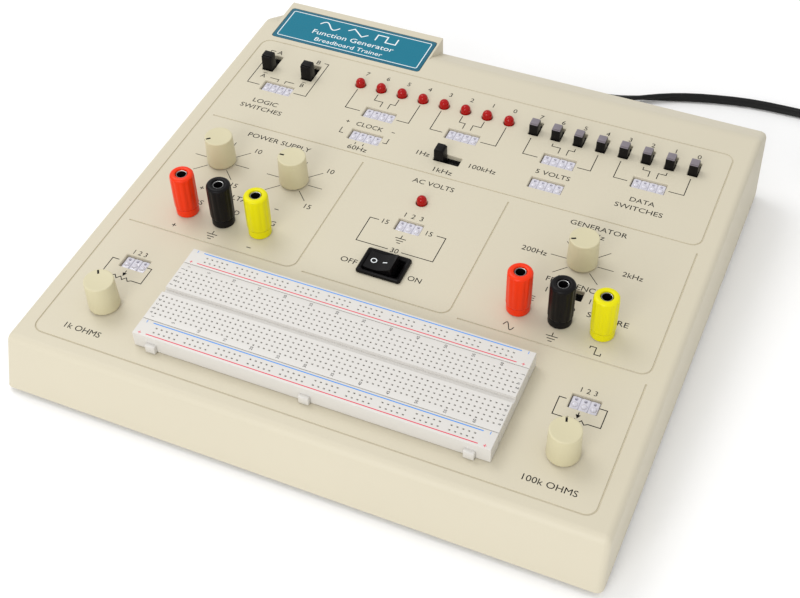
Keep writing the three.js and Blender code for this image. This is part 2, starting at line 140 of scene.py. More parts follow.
CASE = finish("case_plastic", (209, 201, 179), 0.5, 0.97, 0.45, 0.03, 40)
KNOB = finish("knob_plastic", (209, 201, 167), 0.42, 0.96, 0.4, 0.012, 8, Specular_IOR_Level=0.35)
INK = finish("black_ink", (18, 16, 15), 0.7, 0.8, 0.2, 0.004, 3, Specular_IOR_Level=0.2)
TEAL = finish("teal_film", (0, 115, 139), 0.4, 0.95, 0.3, 0.006, 12, Specular_IOR_Level=0.25)
TEAL_EDGE = finish("dark_teal_film", (24, 100, 123), 0.4, 0.9, 0.3, 0.006, 12, Specular_IOR_Level=0.3)
WHITE_INK = finish("white_ink", (240, 245, 246), 0.5, 0.96, 0.2, 0.004, 3)
BLACK = finish("black_plastic", (16, 14, 15), 0.36, 0.75, 0.35, 0.01, 6, Specular_IOR_Level=0.14)
RED = finish("red_plastic", (238, 52, 2), 0.3, 0.96, 0.8, 0.002, 6, Specular_IOR_Level=0.25)
YELLOW = finish("yellow_plastic", (226, 218, 0), 0.3, 0.97, 0.8, 0.002, 6, Specular_IOR_Level=0.2)
LENS = finish("red_lens", (172, 0, 0), 0.1, 0.85, 2.5, 0.001, 2, Specular_IOR_Level=0.3)
BOARD = finish("breadboard_plastic", (216, 213, 208), 0.42, 0.97, 0.5, 0.015, 20)
CLIP = finish("contact_clip", (150, 147, 143), 0.35, 0.7, 0.5, 0.01, 3, Metallic=0.8)
BLUE_INK = finish("blue_ink", (66, 146, 230), 0.5, 0.92, 0.2, 0.004, 3)
RED_INK = finish("red_ink", (226, 78, 98), 0.5, 0.92, 0.2, 0.004, 3)
SOCKET = finish("connector_nylon", (214, 212, 222), 0.16, 0.96, 1.2, 0.003, 4, Coat_Weight=0.5)
# A grey for the crowns of the data sliders, over their black sides.
SLIDER_TOP_GREY = finish("grey_slider_crown", (130, 122, 130), 0.35, 0.8, 0.5, 0.02, 2)
RESIN = finish("circuit_resin", (36, 98, 56), 0.4, 0.85, 0.4, 0.02, 9)
STEEL = finish("plated_steel", (190, 190, 188), 0.28, 0.85, 0.3, 0.008, 4, Metallic=1.0)
LAMINATION = finish("core_steel", (92, 92, 96), 0.5, 0.75, 0.4, 0.02, 5, Metallic=0.8)
COPPER = finish("copper_wire", (186, 104, 60), 0.32, 0.85, 0.2, 0.02, 3, Metallic=1.0)
BRASS = finish("brass", (206, 176, 104), 0.25, 0.88, 0.3, 0.008, 4, Metallic=1.0)
RUBBER = finish("foot_rubber", (40, 40, 41), 0.85, 0.8, 0.4, 0.04, 5)
SHEATH = finish("cord_sheath", (18, 18, 19), 0.42, 0.7, 0.5, 0.02, 6, Specular_IOR_Level=0.25)

# ---- Mesh helpers ----------------------------------------------------------------------------


def piece(name, bm, matrix, materials, body="case", slot=None, replaces=(), smooth=32):
    """Turns a finished bmesh in millimetres into a piece on a body."""
    mesh = bpy.data.meshes.new(name)
    bmesh.ops.recalc_face_normals(bm, faces=bm.faces)
    bm.to_mesh(mesh)
    bm.free()
    return from_mesh(name, mesh, matrix, materials, body, slot, replaces, smooth)


def from_mesh(name, mesh, matrix, materials, body="case", slot=None, replaces=(), smooth=32):
    """Turns a mesh in millimetres into a piece on a body, with edges sharper than smooth degrees."""
    mesh.transform(matrix)
    mesh.name = name
    for material in materials if isinstance(materials, list) else [materials]:
        mesh.materials.append(material)
    mesh.polygons.foreach_set("use_smooth", [True] * len(mesh.polygons))
    mesh.set_sharp_from_angle(angle=math.radians(smooth))
    made = bpy.data.objects.new(name, mesh)
    bpy.context.scene.collection.objects.link(made)
    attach(made, body)
    if replaces:
        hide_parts(*([replaces] if isinstance(replaces, str) else replaces))
    return made


def weighted(made):
    """Keeps wide flat faces flat beside narrow rounded edges."""
    modifier = made.modifiers.new("weighted", "WEIGHTED_NORMAL")
    modifier.keep_sharp = True


def arc(x, y, radius, start, end, steps):
    """Points along an arc, with its angles in degrees."""
    angles = [math.radians(start + (end - start) * i / steps) for i in range(steps + 1)]
    return [(x + radius * math.cos(a), y + radius * math.sin(a)) for a in angles]


def rounded_box(width, depth, radius, x=0.0, y=0.0, steps=5):
    """The outline of a rectangle with rounded corners, about (x, y)."""
    w, d = width / 2 - radius, depth / 2 - radius
    corners = [(w, d, 0), (-w, d, 90), (-w, -d, 180), (w, -d, 270)]
    return [p for cx, cy, a in corners for p in arc(x + cx, y + cy, radius, a, a + 90, steps)]


def loft(bm, rings, material=0, caps=True):
    """Skins a row of closed rings of equal length, and closes both ends."""
    rows = [[bm.verts.new(p) for p in ring] for ring in rings]
    for low, high in zip(rows, rows[1:]):
        for i in range(len(low)):
            j = (i + 1) % len(low)
            bm.faces.new((low[i], low[j], high[j], high[i])).material_index = material
    if caps:
        bm.faces.new(rows[0][::-1]).material_index = material
        bm.faces.new(rows[-1]).material_index = material
    return rows


def slab(bm, outline, low, high):
    """A straight block over an outline."""
    loft(bm, [[(x, y, z) for x, y in outline] for z in (low, high)])


def prism(bm, outline, bottom, top, chamfer=0.0):
    """A straight-sided block over an outline, with a small chamfer round its top."""
    cx = sum(p[0] for p in outline) / len(outline)
    cy = sum(p[1] for p in outline) / len(outline)
    half_width = max(abs(p[0] - cx) for p in outline)
    half_depth = max(abs(p[1] - cy) for p in outline)

    def ring(inset, z):
        sx, sy = 1 - inset / half_width, 1 - inset / half_depth
        return [(cx + (x - cx) * sx, cy + (y - cy) * sy, z) for x, y in outline]

    rings = [ring(0, bottom), ring(0, top - chamfer)]
    if chamfer:
        rings += [ring(chamfer * 0.3, top - chamfer * 0.3), ring(chamfer, top)]
    loft(bm, rings)


def turned(bm, profile, x=0.0, y=0.0, *, sides):
    """A turned solid about a line along z: profile is [radius, z] from the bottom, round the outside."""
    angles = [2 * math.pi * i / sides for i in range(sides)]
    rings, poles = [], {}
    for radius, z in profile:
        if radius == 0:
            poles[len(rings)] = bm.verts.new((x, y, z))
            rings.append(None)
            continue
        places = [(x + radius * math.cos(a), y + radius * math.sin(a), z) for a in angles]
        rings.append([bm.verts.new(place) for place in places])
    for k in range(len(rings) - 1):
        low, high = rings[k], rings[k + 1]
        if low is None and high is None:
            continue
        for i in range(sides):
            j = (i + 1) % sides
            if low is None:
                corners = (poles[k], high[j], high[i])
            elif high is None:
                corners = (low[i], low[j], poles[k + 1])
            else:
                corners = (low[i], low[j], high[j], high[i])
            bm.faces.new(corners)


def closed_turn(bm, profile, x=0.0, y=0.0, *, sides):
    """A turned ring whose profile is a loop that doesn't touch the axis."""
    turned(bm, [*profile, profile[0]], x, y, sides=sides)
    bmesh.ops.remove_doubles(bm, verts=bm.verts, dist=1e-4)


def edge_curve(radius, z, size, steps=4):
    """Profile points of a rounded upper edge that ends flat at height z."""
    points = arc(radius - size, z - size, size, 0, 90, steps)
    return [list(p) for p in points]


def soften(bm, edges, size, segments):
    """Rounds edges."""
    look = {"profile": 0.5, "affect": "EDGES", "clamp_overlap": True}
    bmesh.ops.bevel(bm, geom=list(edges), offset=size, segments=segments, **look)


def block(bm, low, high, bevel, segments=2, material=0):
    """A box between two corners with softened edges."""
    (x0, y0, z0), (x1, y1, z1) = low, high
    before = set(bm.faces)
    rows = loft(bm, [[(x0, y0, z), (x1, y0, z), (x1, y1, z), (x0, y1, z)] for z in (z0, z1)], material)
    soften(bm, {e for row in rows for v in row for e in v.link_edges}, bevel, segments)
    for face in set(bm.faces) - before:
        face.material_index = material


def offsets(points, closed):
    """The mitred sideways direction at each point of a flat path."""
    found = []
    count = len(points)
    for i, here in enumerate(points):
        before = points[i - 1] if i or closed else None
        after = points[(i + 1) % count] if i < count - 1 or closed else None
        normals = []
        for a, b in ((before, here), (here, after)):
            if a is not None and b is not None:
                along = (Vector(b) - Vector(a)).normalized()
                normals.append(Vector((-along.y, along.x)))
        side = sum(normals, Vector((0, 0))).normalized()
        found.append(side / max(0.4, side.dot(normals[0])))
    return found


def sweep(bm, points, section, closed=False, material=0):
    """Runs a section of (across, z) points along a flat path."""
    rings = []
    for here, side in zip(points, offsets(points, closed)):
        rings.append([(here[0] + side.x * s, here[1] + side.y * s, z) for s, z in section])
    if closed:
        rings.append(rings[0])
    loft(bm, rings, material, caps=not closed)
    if closed:
        bmesh.ops.remove_doubles(bm, verts=bm.verts, dist=1e-5)


def rounded_path(corners, radius):
    """An open path whose inner corners are arcs."""
    steps = 6
    points = [corners[0]]
    for before, corner, after in zip(corners, corners[1:], corners[2:]):
        c = Vector(corner)
        back = (Vector(before) - c).normalized() * radius
        ahead = (Vector(after) - c).normalized() * radius
        for i in range(steps + 1):
            turn = math.radians(90 * i / steps)
            points.append(tuple(c + back * (1 - math.sin(turn)) + ahead * (1 - math.cos(turn))))
    points.append(corners[-1])
    return points


def solid(bm):
    """A loose object that booleans can use."""
    bmesh.ops.recalc_face_normals(bm, faces=bm.faces)
    mesh = bpy.data.meshes.new("solid")
    bm.to_mesh(mesh)
    bm.free()
    made = bpy.data.objects.new("solid", mesh)
    bpy.context.scene.collection.objects.link(made)
    return made


def combine(body, other, operation):
    """Cuts other from body, or joins it on, and removes other."""
    modifier = body.modifiers.new("combine", "BOOLEAN")
    modifier.operation = operation
    modifier.solver = "MANIFOLD"
    modifier.object = other
    graph = bpy.context.evaluated_depsgraph_get()
    mesh = bpy.data.meshes.new_from_object(body.evaluated_get(graph))
    body.modifiers.clear()
    body.data = mesh
    bpy.data.objects.remove(other)
    return body


def cut(body, bm):
    """Cuts a bmesh's shape from a loose object."""
    return combine(body, solid(bm), "DIFFERENCE")


def take_mesh(made):
    """The mesh of a loose object, which is removed, without the empty slots a boolean leaves."""
    mesh = made.data
    bpy.data.objects.remove(made)
    mesh.materials.clear()
    return mesh


# ---- Lettering -------------------------------------------------------------------------------

PRINT_BOTTOM, PRINT_TOP = -0.01, 0.03
LINE_WIDTH = 0.42
CAPITAL = 3.0  # height of the panel's capitals
glyphs = {}


def words_mesh(words):
    """The mesh of some words at size 1, standing on y = 0, and its width."""
    if words not in glyphs:
        curve = bpy.data.curves.new("words", "FONT")
        curve.body = words
        curve.resolution_u = 3
        curve.extrude = 0.5
        curve.align_x = "CENTER"
        holder = bpy.data.objects.new("words", curve)
        mesh = bpy.data.meshes.new_from_object(holder)
        bpy.data.objects.remove(holder)
        across = [v.co.x for v in mesh.vertices]
        glyphs[words] = (mesh, min(across), max(across), max(v.co.y for v in mesh.vertices))
    return glyphs[words]


CAP_HEIGHT = words_mesh("H")[3]


def letter(bm, words, x, y, width=None, height=CAPITAL, surface=0.0, angle=0.0, material=0):
    """Prints words centred on (x, y)."""
    mesh, left, right, _ = words_mesh(words)
    tall = height / CAP_HEIGHT
    wide = width / (right - left) if width else tall
    turn = Matrix.Rotation(math.radians(angle), 2)
    added = len(bm.verts)
    faces = len(bm.faces)
    bm.from_mesh(mesh)
    bm.verts.ensure_lookup_table()
    bm.faces.ensure_lookup_table()
    for v in bm.verts[added:]:
        flat = turn @ Vector(((v.co.x - (left + right) / 2) * wide, v.co.y * tall - height / 2))
        z = surface + (PRINT_TOP if v.co.z > 0 else PRINT_BOTTOM)
        v.co = (x + flat.x, y + flat.y, z)
    for face in bm.faces[faces:]:
        face.material_index = material


def stroke(bm, points, width=LINE_WIDTH, surface=0.0, closed=False, material=0):
    """Prints a line."""
    w = width / 2
    low, high = surface + PRINT_BOTTOM, surface + PRINT_TOP
    sweep(bm, points, [(-w, low), (w, low), (w, high), (-w, high)], closed, material)


# ---- Camera ----------------------------------------------------------------------------------

CAMERA_PLACE = Vector((0.18200, -0.45064, 0.44675))
CAMERA_AIM = Vector((0.01380, -0.04726, 0.03566))
CAMERA_ROLL = math.radians(0.88)
camera = bpy.data.objects.new("camera", bpy.data.cameras.new("camera"))
bpy.context.scene.collection.objects.link(camera)
camera.data.sensor_width = 36
camera.data.lens = 60.34
camera.data.clip_start = 0.01
camera.location = CAMERA_PLACE
camera.rotation_mode = "QUATERNION"
aim_turn = (CAMERA_AIM - CAMERA_PLACE).to_track_quat("-Z", "Y")
camera.rotation_quaternion = aim_turn @ Matrix.Rotation(CAMERA_ROLL, 3, "Z").to_quaternion()
bpy.context.scene.camera = camera

# ---- Mains cord ------------------------------------------------------------------------------

CORD_WIDTH, CORD_THICKNESS = 5.0, 2.6  # a flat cord of two cores side by side
CORD_RADIUS = CORD_WIDTH / 2
COIL_TURNS = 8.25
COIL_LAYERS = 2
COIL_PITCH = 2.7  # from one turn to the next, which stand on edge
TIE_THICKNESS = 0.6


def cord_route():
    """The cord's whole centreline in the desk frame: the run, the coil and the tail to the plug."""
    relief_low, relief_high = span("strain_relief", DESK)
    start_x = (relief_low.x + relief_high.x) / 2
    height = (relief_low.z + relief_high.z) / 2
    start_y = relief_high.y + 0.3
    floor = CORD_RADIUS + 0.1
    coil_middle = middle("cord_coil", DESK)
    coil_low, coil_high = span("cord_coil", DESK)
    outer = (coil_high.x - coil_low.x) / 2 - CORD_THICKNESS / 2 - 0.1
    lift = floor + TIE_THICKNESS
    run = [
        (start_x, start_y, height),
        (start_x, start_y + 3, height),
        (start_x + 3.4, start_y + 10.5, 14.6),
        (start_x + 10.5, start_y + 17.5, 9.6),
        (start_x + 19, start_y + 24, 5.4),
        (54, 193.3, 3.2),
        (70, 202.4, floor),
        (92, 211.2, floor),
        (119, 217.8, floor),
        (147, 219.6, floor),
        (166, 219.5, floor),
        (coil_middle.x - 19.8, coil_middle.y + outer - 0.6, lift),
    ]
    across = COIL_PITCH * COIL_TURNS / COIL_LAYERS
    turns = []
    steps = 24
    climb = 0.2
    count = round(COIL_TURNS * steps)
    for i in range(count + 1):
        done = i / steps
        layer = min(int(done / (COIL_TURNS / COIL_LAYERS)), COIL_LAYERS - 1)
        share = done / (COIL_TURNS / COIL_LAYERS) - layer
        inward = share if layer % 2 == 0 else 1 - share
        begun = (done - layer * COIL_TURNS / COIL_LAYERS) / climb
        rise = min(1, begun) if layer else 1
        level = layer - 1 + 0.5 - 0.5 * math.cos(math.pi * rise) if layer else 0
        radius = outer - across * inward
        angle = math.pi / 2 - 2 * math.pi * done
        turns.append(
            (
                coil_middle.x + radius * math.cos(angle),
                coil_middle.y + radius * math.sin(angle),
                lift + level * 2 * CORD_RADIUS,
            )
        )
    tail_x, tail_y = coil_middle.x + outer, coil_middle.y
    top = turns[-1][2]
    plug_height = 7
    plug_x = middle("plug", DESK).x
    plug_end = span("plug", DESK)[1].y
    tail = [
        (tail_x, tail_y - 8, top - 0.1),
        (tail_x - 0.2, tail_y - 16, top - 0.4),
        ((tail_x + plug_x) / 2, tail_y - 25, (top + plug_height) / 2),
        (plug_x, tail_y - 34, plug_height + 0.2),
        (plug_x, plug_end + 2, plug_height),
        (plug_x, plug_end - 6, plug_height),
    ]
    return run + turns + tail


def smooth_path(points):
    """A Catmull-Rom curve through the points."""
    steps = 3
    path = []
    knots = [Vector(p) for p in points]
    knots = [2 * knots[0] - knots[1], *knots, 2 * knots[-1] - knots[-2]]
    for a, b, c, d in zip(knots, knots[1:], knots[2:], knots[3:]):
        for i in range(steps):
            t = i / steps
            bend = (2 * a - 5 * b + 4 * c - d) * t * t
            path.append(0.5 * (2 * b + (c - a) * t + bend + (3 * b - a - 3 * c + d) * t ** 3))
    return [*path, knots[-2]]


def ease(value, low, high):
    """A smooth step from 0 at low to 1 at high."""
    share = min(1, max(0, (value - low) / (high - low)))
    return share * share * (3 - 2 * share)


def cord_roll(done, left):
    """How far the wide side is turned up from the desk, done mm along and left mm from the end."""
    start, on_edge, to_viewer = 25, 90, 115
    roll = start + (to_viewer - start) * ease(done, 45, 85)
    roll -= (to_viewer - on_edge) * ease(done, 130, 180)
    return math.radians(roll - on_edge * (1 - ease(left, 8, 48)))


def cord_section():
    """Two round cores side by side, with a groove where they meet."""
    core, spread = CORD_THICKNESS / 2, (CORD_WIDTH - CORD_THICKNESS) / 2
    return [*arc(spread, 0, core, -140, 140, 12), *arc(-spread, 0, core, 40, 320, 12)]


def mains_cord(points):
    """The flat cord along its route, and the points of its centreline in metres."""
    path = smooth_path(points)
    lengths = [0.0]
    for a, b in zip(path, path[1:]):
        lengths.append(lengths[-1] + (b - a).length)
    rings = []
    for i, here in enumerate(path):
        ahead = (path[min(i + 1, len(path) - 1)] - path[max(i - 1, 0)]).normalized()
        side = ahead.cross(Vector((0, 0, 1))).normalized()
        up = side.cross(ahead)
        roll = cord_roll(lengths[i], lengths[-1] - lengths[i])
        wide = side * math.cos(roll) + up * math.sin(roll)
        thin = up * math.cos(roll) - side * math.sin(roll)
        rings.append([here + wide * u + thin * v for u, v in cord_section()])
    bm = bmesh.new()
    loft(bm, rings)
    stands_for = ("cord_run", "cord_coil")
    made = piece("mains_cord", bm, DESK, SHEATH, slot="cord_sheath", replaces=stands_for, smooth=60)
    return made, [tuple(DESK @ p) for p in path]


def strain_relief():
    """A tapered sleeve with grip rings, clipped through the rear wall."""
    low, high = span("strain_relief", DESK)
    centre = (low + high) / 2
    wall_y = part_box("top_case")[1].y / MM
    bm = bmesh.new()
    profile = [[0, -5], [3.4, -5], [3.9, -4.2], [3.9, 0.3], [6.2, 0.3]]
    profile += [*edge_curve(6.2, 2.2, 0.7), [4.7, 2.5]]
    rings = 6
    for i in range(rings):
        z = 4.2 + i * 3.1
        radius = 4.6 - (z - 4) * 0.072
        grip = ((0, 0), (0.05, 1.5), (0.75, 1.8), (0.8, 2.7))
        profile += [[radius - inset, z + along] for inset, along in grip]
    reach = high.y - wall_y
    profile += [[3.15, 23.4], [2.9, reach], [2.6, reach], [0, reach - 0.4]]
    turned(bm, profile, sides=32)
    place = Matrix.Translation((centre.x, wall_y, centre.z)) @ Matrix.Rotation(-math.pi / 2, 4, "X")
    name = "strain_relief_sleeve"
    return piece(name, bm, DESK @ place, BLACK, slot="black_plastic", replaces="strain_relief")


def mains_plug():
    """A moulded two-blade plug with grip ribs and a ringed tail."""
    low, high = span("plug", DESK)
    centre_x = (low.x + high.x) / 2
    grip_back = high.y - 15
    place = DESK @ Matrix.Translation((centre_x, grip_back, 7))
    half = (high.x - low.x) / 2
    sections = [
        (15, 3.3, 3.3, 3.3),
        (13.8, 4.0, 4.0, 4.0),
        (4, 4.4, 4.4, 4.4),
        (1, 5.4, 5.0, 4.6),
        (-2, 9.0, 6.0, 6.4),
        (-5, half - 0.6, 6.0, 8.4),
        (-8, half, 6.0, 10),
        (-24, half, 6.0, 10),
        (-27, half - 0.8, 5.8, 9.4),
        (-28, 8.5, 4.0, 8),
        (-33.2, 8.4, 3.9, 7.9),
        (-34, 7.6, 3.2, 7.2),
    ]
    bm = bmesh.new()
    rings = []
    for y, wide, down, up in sections:
        ring = []
        for i in range(32):
            a = 2 * math.pi * i / 32
            c, s = math.cos(a), math.sin(a)
            power = 0.42 if y < -3 else 1.0
            x = wide * math.copysign(abs(c) ** power, c)
            z = (up if s > 0 else down) * math.copysign(abs(s) ** power, s)
            ring.append((x, y, z))
        rings.append(ring[::-1])
    loft(bm, rings)
    for i in range(5):
        y = 3.2 + i * 2.3
        ring = 4.4 - i * 0.12
        bulge = [[(ring + extra) * math.cos(a), y + dy, (ring + extra) * math.sin(a)]
                 for dy, extra in ((0.7, 0), (0.5, 0.55), (-0.5, 0.55), (-0.7, 0))
                 for a in (2 * math.pi * k / 32 for k in range(32))]
        loft(bm, [bulge[k * 32:(k + 1) * 32] for k in range(4)])
    for side in (-1, 1):
        for i in range(6):
            y = -10 - i * 2.3
            rib_x = side * (half - 0.4)
            block(bm, (rib_x - 0.45, y - 0.6, -3.5), (rib_x + 0.4, y + 0.6, 6.5), 0.3)
    body = piece("plug_body", bm, place, BLACK, slot="black_plastic", replaces="plug", smooth=40)
    bm = bmesh.new()
    blade_end = low.y - grip_back
    for x in (-6.35, 6.35):
        block(bm, (x - 0.75, blade_end, -1.2), (x + 0.75, -33, 5.2), 0.35, 3)
    blades = piece("plug_blades", bm, place, BRASS, slot="screw_steel")
    return body, blades


def cord_tie():
    """A soft strap that holds the coil's turns together."""
    low, high = span("cord_coil", DESK)
    centre = (low + high) / 2
    outer = (high.x - low.x) / 2
    inner = outer - COIL_PITCH * COIL_TURNS / COIL_LAYERS - CORD_THICKNESS - 0.3
    top = TIE_THICKNESS + 0.2 + COIL_LAYERS * CORD_WIDTH + 0.5
    mid_x, mid_z = (outer + inner) / 2, top / 2
    wide, tall = outer - inner + 2 * TIE_THICKNESS, top - 0.1

    def loop(y, inset, radius):
        ring = rounded_box(wide - 2 * inset, tall - 2 * inset, radius)
        return [(mid_x + x, y, mid_z + z) for x, z in ring]

    half = 4.5
    worn = ((-half, 0.12, 2.5), (-half + 0.3, 0, 2.6), (half - 0.3, 0, 2.6), (half, 0.12, 2.5))
    outside = [loop(*place) for place in worn]
    inside = [loop(half, TIE_THICKNESS, 2), loop(-half, TIE_THICKNESS, 2)]
    bm = bmesh.new()
    loft(bm, [*outside, *inside, outside[0]], caps=False)
    bmesh.ops.remove_doubles(bm, verts=bm.verts, dist=1e-4)
    spin = Matrix.Translation((centre.x, centre.y, 0)) @ Matrix.Rotation(math.radians(-150), 4, "Z")
    return piece("cord_tie", bm, DESK @ spin, BLACK, slot="black_plastic")


relief = strain_relief()
plug_body, plug_blades = mains_plug()
tie = cord_tie()
route = cord_route()
cord, cord_path = mains_cord(route)

# ---- Places on the panel ---------------------------------------------------------------------

KNOB_NAMES = ("positive_supply", "negative_supply", "generator", "1k", "100k")
KNOBS = {name: middle(f"knob_{name}") for name in KNOB_NAMES}
KNOB_BODIES = {"1k": "pot_1k_knob", "100k": "pot_100k_knob"}
POINTERS = {"positive_supply": -133, "negative_supply": -95, "generator": -117, "1k": -33, "100k": -15}
LIGHTS = {f"led_{i}": middle(f"led_{i}") for i in range(8)}
LIGHTS["power_led"] = middle("power_led")
LIGHT_RADIUS = 2.5
LIGHT_HEIGHT = 4.0
SHAFT_HOLE = 3.3

# Each slide switch: the body that moves, the slot's size and the way the slider runs
SLOT_WIDE, SLOT_LONG = 6.2, 13.4
DATA_SLOT_WIDE, DATA_SLOT_LONG = 5.0, 10.7
SLIDER_LENGTH = 5.0
SLIDER_END_GAP = 0.4
SWITCHES = {f"data_slider_{i}": (f"data_switch_{i}", DATA_SLOT_WIDE, DATA_SLOT_LONG) for i in range(8)}
SWITCHES |= {f"logic_slider_{side}": (f"logic_switch_{side}", SLOT_WIDE, SLOT_LONG) for side in "ab"}
SWITCHES |= {f"{name}_slider": (f"{name}_switch", SLOT_LONG, SLOT_WIDE) for name in ("clock", "range")}


def slot_middle(node):
    """The middle of a slider's slot: the slider rests near the slot's front or left end."""
    _, wide, long = SWITCHES[node]
    at = middle(node)
    shift = (max(wide, long) - SLIDER_LENGTH) / 2 - SLIDER_END_GAP
    return (at.x + shift, at.y) if wide > long else (at.x, at.y + shift)


POSTS = {
    f"{group}_{colour}": middle(f"post_base_{group}_{colour}")
    for group in ("supply", "generator")
    for colour in ("red", "black", "yellow")
}
STUD_HOLE = 2.9
CONNECTOR_CELL, CONNECTOR_DEPTH = 4.1, 7.4
UPPER_ROW, LOWER_ROW, FRONT_ROW = 199.1, 180.7, 60.1
CONNECTORS = {
    "logic": (-104.85, UPPER_ROW, 4),
    "lights_high": (-46.45, UPPER_ROW, 4),
    "lights_low": (-0.8, UPPER_ROW, 4),
    "data_high": (49.9, UPPER_ROW, 4),
    "data_low": (95.7, UPPER_ROW, 4),
    "clock": (-46, LOWER_ROW, 4),
    "five_volts": (49.9, LOWER_ROW, 4),
    "ac_volts": (-0.35, 129.5, 3),
    "pot_1k": (-108, FRONT_ROW, 3),
    "pot_100k": (108.45, FRONT_ROW, 3),
}
ROCKER = middle("rocker_housing")

# ---- Case ------------------------------------------------------------------------------------

CASE_ROUNDING = 3.2
HOLE_CHAMFER = 0.3
TAB_LEFT, TAB_RIGHT, TAB_BACK = -130.6, -40.1, 271.2
LABEL_RECESS = 0.8
label_low, label_high = span("nameplate")

# Section frames pressed into the panel
FRAME_LEFT, FRAME_RIGHT, FRAME_FRONT, FRAME_BACK = -130.1, 129.1, 8.0, 235.0
ROW_BACK, ROW_FRONT = 167.4, 84.4
COLUMN_LEFT, COLUMN_RIGHT = -39.0, 37.2
FRAME_CORNER, FRAME_GAP = 5.0, 4.5
GROOVE_WIDTH, GROOVE_DEPTH = 0.84, 0.6


def half_width(z):
    """Half the case's width at a height over the panel."""
    return CASE_HALF_WIDTH - CASE_FLARE * z


def wedge(outline, width_of):
    """A block across the case from its side view, with leaning side walls."""
    bm = bmesh.new()
    rows = [[bm.verts.new((side * width_of(z), y, z)) for y, z in outline] for side in (-1, 1)]
    for i in range(len(outline)):
        j = (i + 1) % len(outline)
        bm.faces.new((rows[0][i], rows[0][j], rows[1][j], rows[1][i]))
    bm.faces.new(rows[0][::-1])
    bm.faces.new(rows[1])
    return bm, rows


def case_outside():
    """The case's outer shape, rounded all round but at the feet."""
    bm, rows = wedge([FRONT_FOOT, REAR_FOOT, REAR_SLOPE_END, REAR_SLOPE_TOP, (0, 0)], half_width)
    feet = {rows[0][0], rows[0][1], rows[1][0], rows[1][1]}
    edges = [e for e in bm.edges if not set(e.verts) <= feet]
    soften(bm, edges, CASE_ROUNDING, 6)
    return solid(bm)


def case_inside():
    """The space inside the case, open below."""
    below = 14
    front_lean = FRONT_FOOT[0] / FRONT_FOOT[1]
    outline = [
        (FRONT_FOOT[0] + WALL - below * front_lean, FRONT_FOOT[1] - below),
        (REAR_FOOT[0] - WALL - 1, REAR_FOOT[1] - below),
        (REAR_SLOPE_END[0] - WALL, REAR_SLOPE_END[1] - 1.4),
        (REAR_SLOPE_TOP[0] - 0.8, -WALL),
        (WALL, -WALL),
    ]
    bm, rows = wedge(outline, lambda z: half_width(z) - WALL)
    feet = {rows[0][0], rows[0][1], rows[1][0], rows[1][1]}
    soften(bm, [e for e in bm.edges if not set(e.verts) <= feet], 1.2, 3)
    return solid(bm)


def nameplate_tab():
    """The level tab over the rear slope, with soft edges."""
    bm = bmesh.new()
    front = REAR_SLOPE_TOP[0] - 7
    low = REAR_SLOPE_END[1]
    outline = [(front, 0), (front, -5.5), (TAB_BACK - 0.4, low - 1), (TAB_BACK, low), (TAB_BACK, 0)]
    rows = [[bm.verts.new((x, y, z)) for y, z in outline] for x in (TAB_LEFT, TAB_RIGHT)]
    for i in range(len(outline)):
        j = (i + 1) % len(outline)
        bm.faces.new((rows[0][i], rows[0][j], rows[1][j], rows[1][i]))
    bm.faces.new(rows[0][::-1])
    bm.faces.new(rows[1])
    top = [e for e in bm.edges if all(v.co.z == 0 and v.co.y > front for v in e.verts)]
    sides = [e for e in bm.edges if {v.co.y for v in e.verts} == {front, TAB_BACK}]
    upright = [e for e in bm.edges if {v.co.z for v in e.verts} == {0, low}]
    soften(bm, top + sides + upright, 1.4, 5)
    return solid(bm)


def add_opening(bm, outline):
    """A cutter through the panel that widens into a small chamfer at the surface."""
    cx = sum(p[0] for p in outline) / len(outline)
    cy = sum(p[1] for p in outline) / len(outline)
    half = min(max(abs(p[0] - cx) for p in outline), max(abs(p[1] - cy) for p in outline))

    def ring(grow, z):
        rows = []
        for x, y in outline:
            away = Vector((x - cx, y - cy))
            away = Vector((math.copysign(min(1, abs(away.x) / half), away.x),
                           math.copysign(min(1, abs(away.y) / half), away.y)))
            rows.append((x + away.x * grow, y + away.y * grow, z))
        return rows

    loft(bm, [ring(0, -6), ring(0, -HOLE_CHAMFER), ring(HOLE_CHAMFER, 0), ring(HOLE_CHAMFER + 0.5, 0.5)])


def circle(x, y, radius, steps=32):
    """The outline of a circle."""
    return arc(x, y, radius, 0, 360 - 360 / steps, steps - 1)


def openings():
    """Cutters for every opening in the panel."""
    bm = bmesh.new()
    for x, y, cells in CONNECTORS.values():
        add_opening(bm, rounded_box(cells * CONNECTOR_CELL + 0.6, CONNECTOR_DEPTH + 0.6, 0.5, x, y, 3))
    for node, (_, wide, long) in SWITCHES.items():
        add_opening(bm, rounded_box(wide, long, 0.4, *slot_middle(node), 3))
    for at in LIGHTS.values():
        add_opening(bm, circle(at.x, at.y, LIGHT_RADIUS + 0.3))
    for at in KNOBS.values():
        add_opening(bm, circle(at.x, at.y, SHAFT_HOLE))
    for at in POSTS.values():
        add_opening(bm, circle(at.x, at.y, STUD_HOLE))
    add_opening(bm, rounded_box(19.6, 13.6, 0.6, ROCKER.x, ROCKER.y, 3))
    return solid(bm)


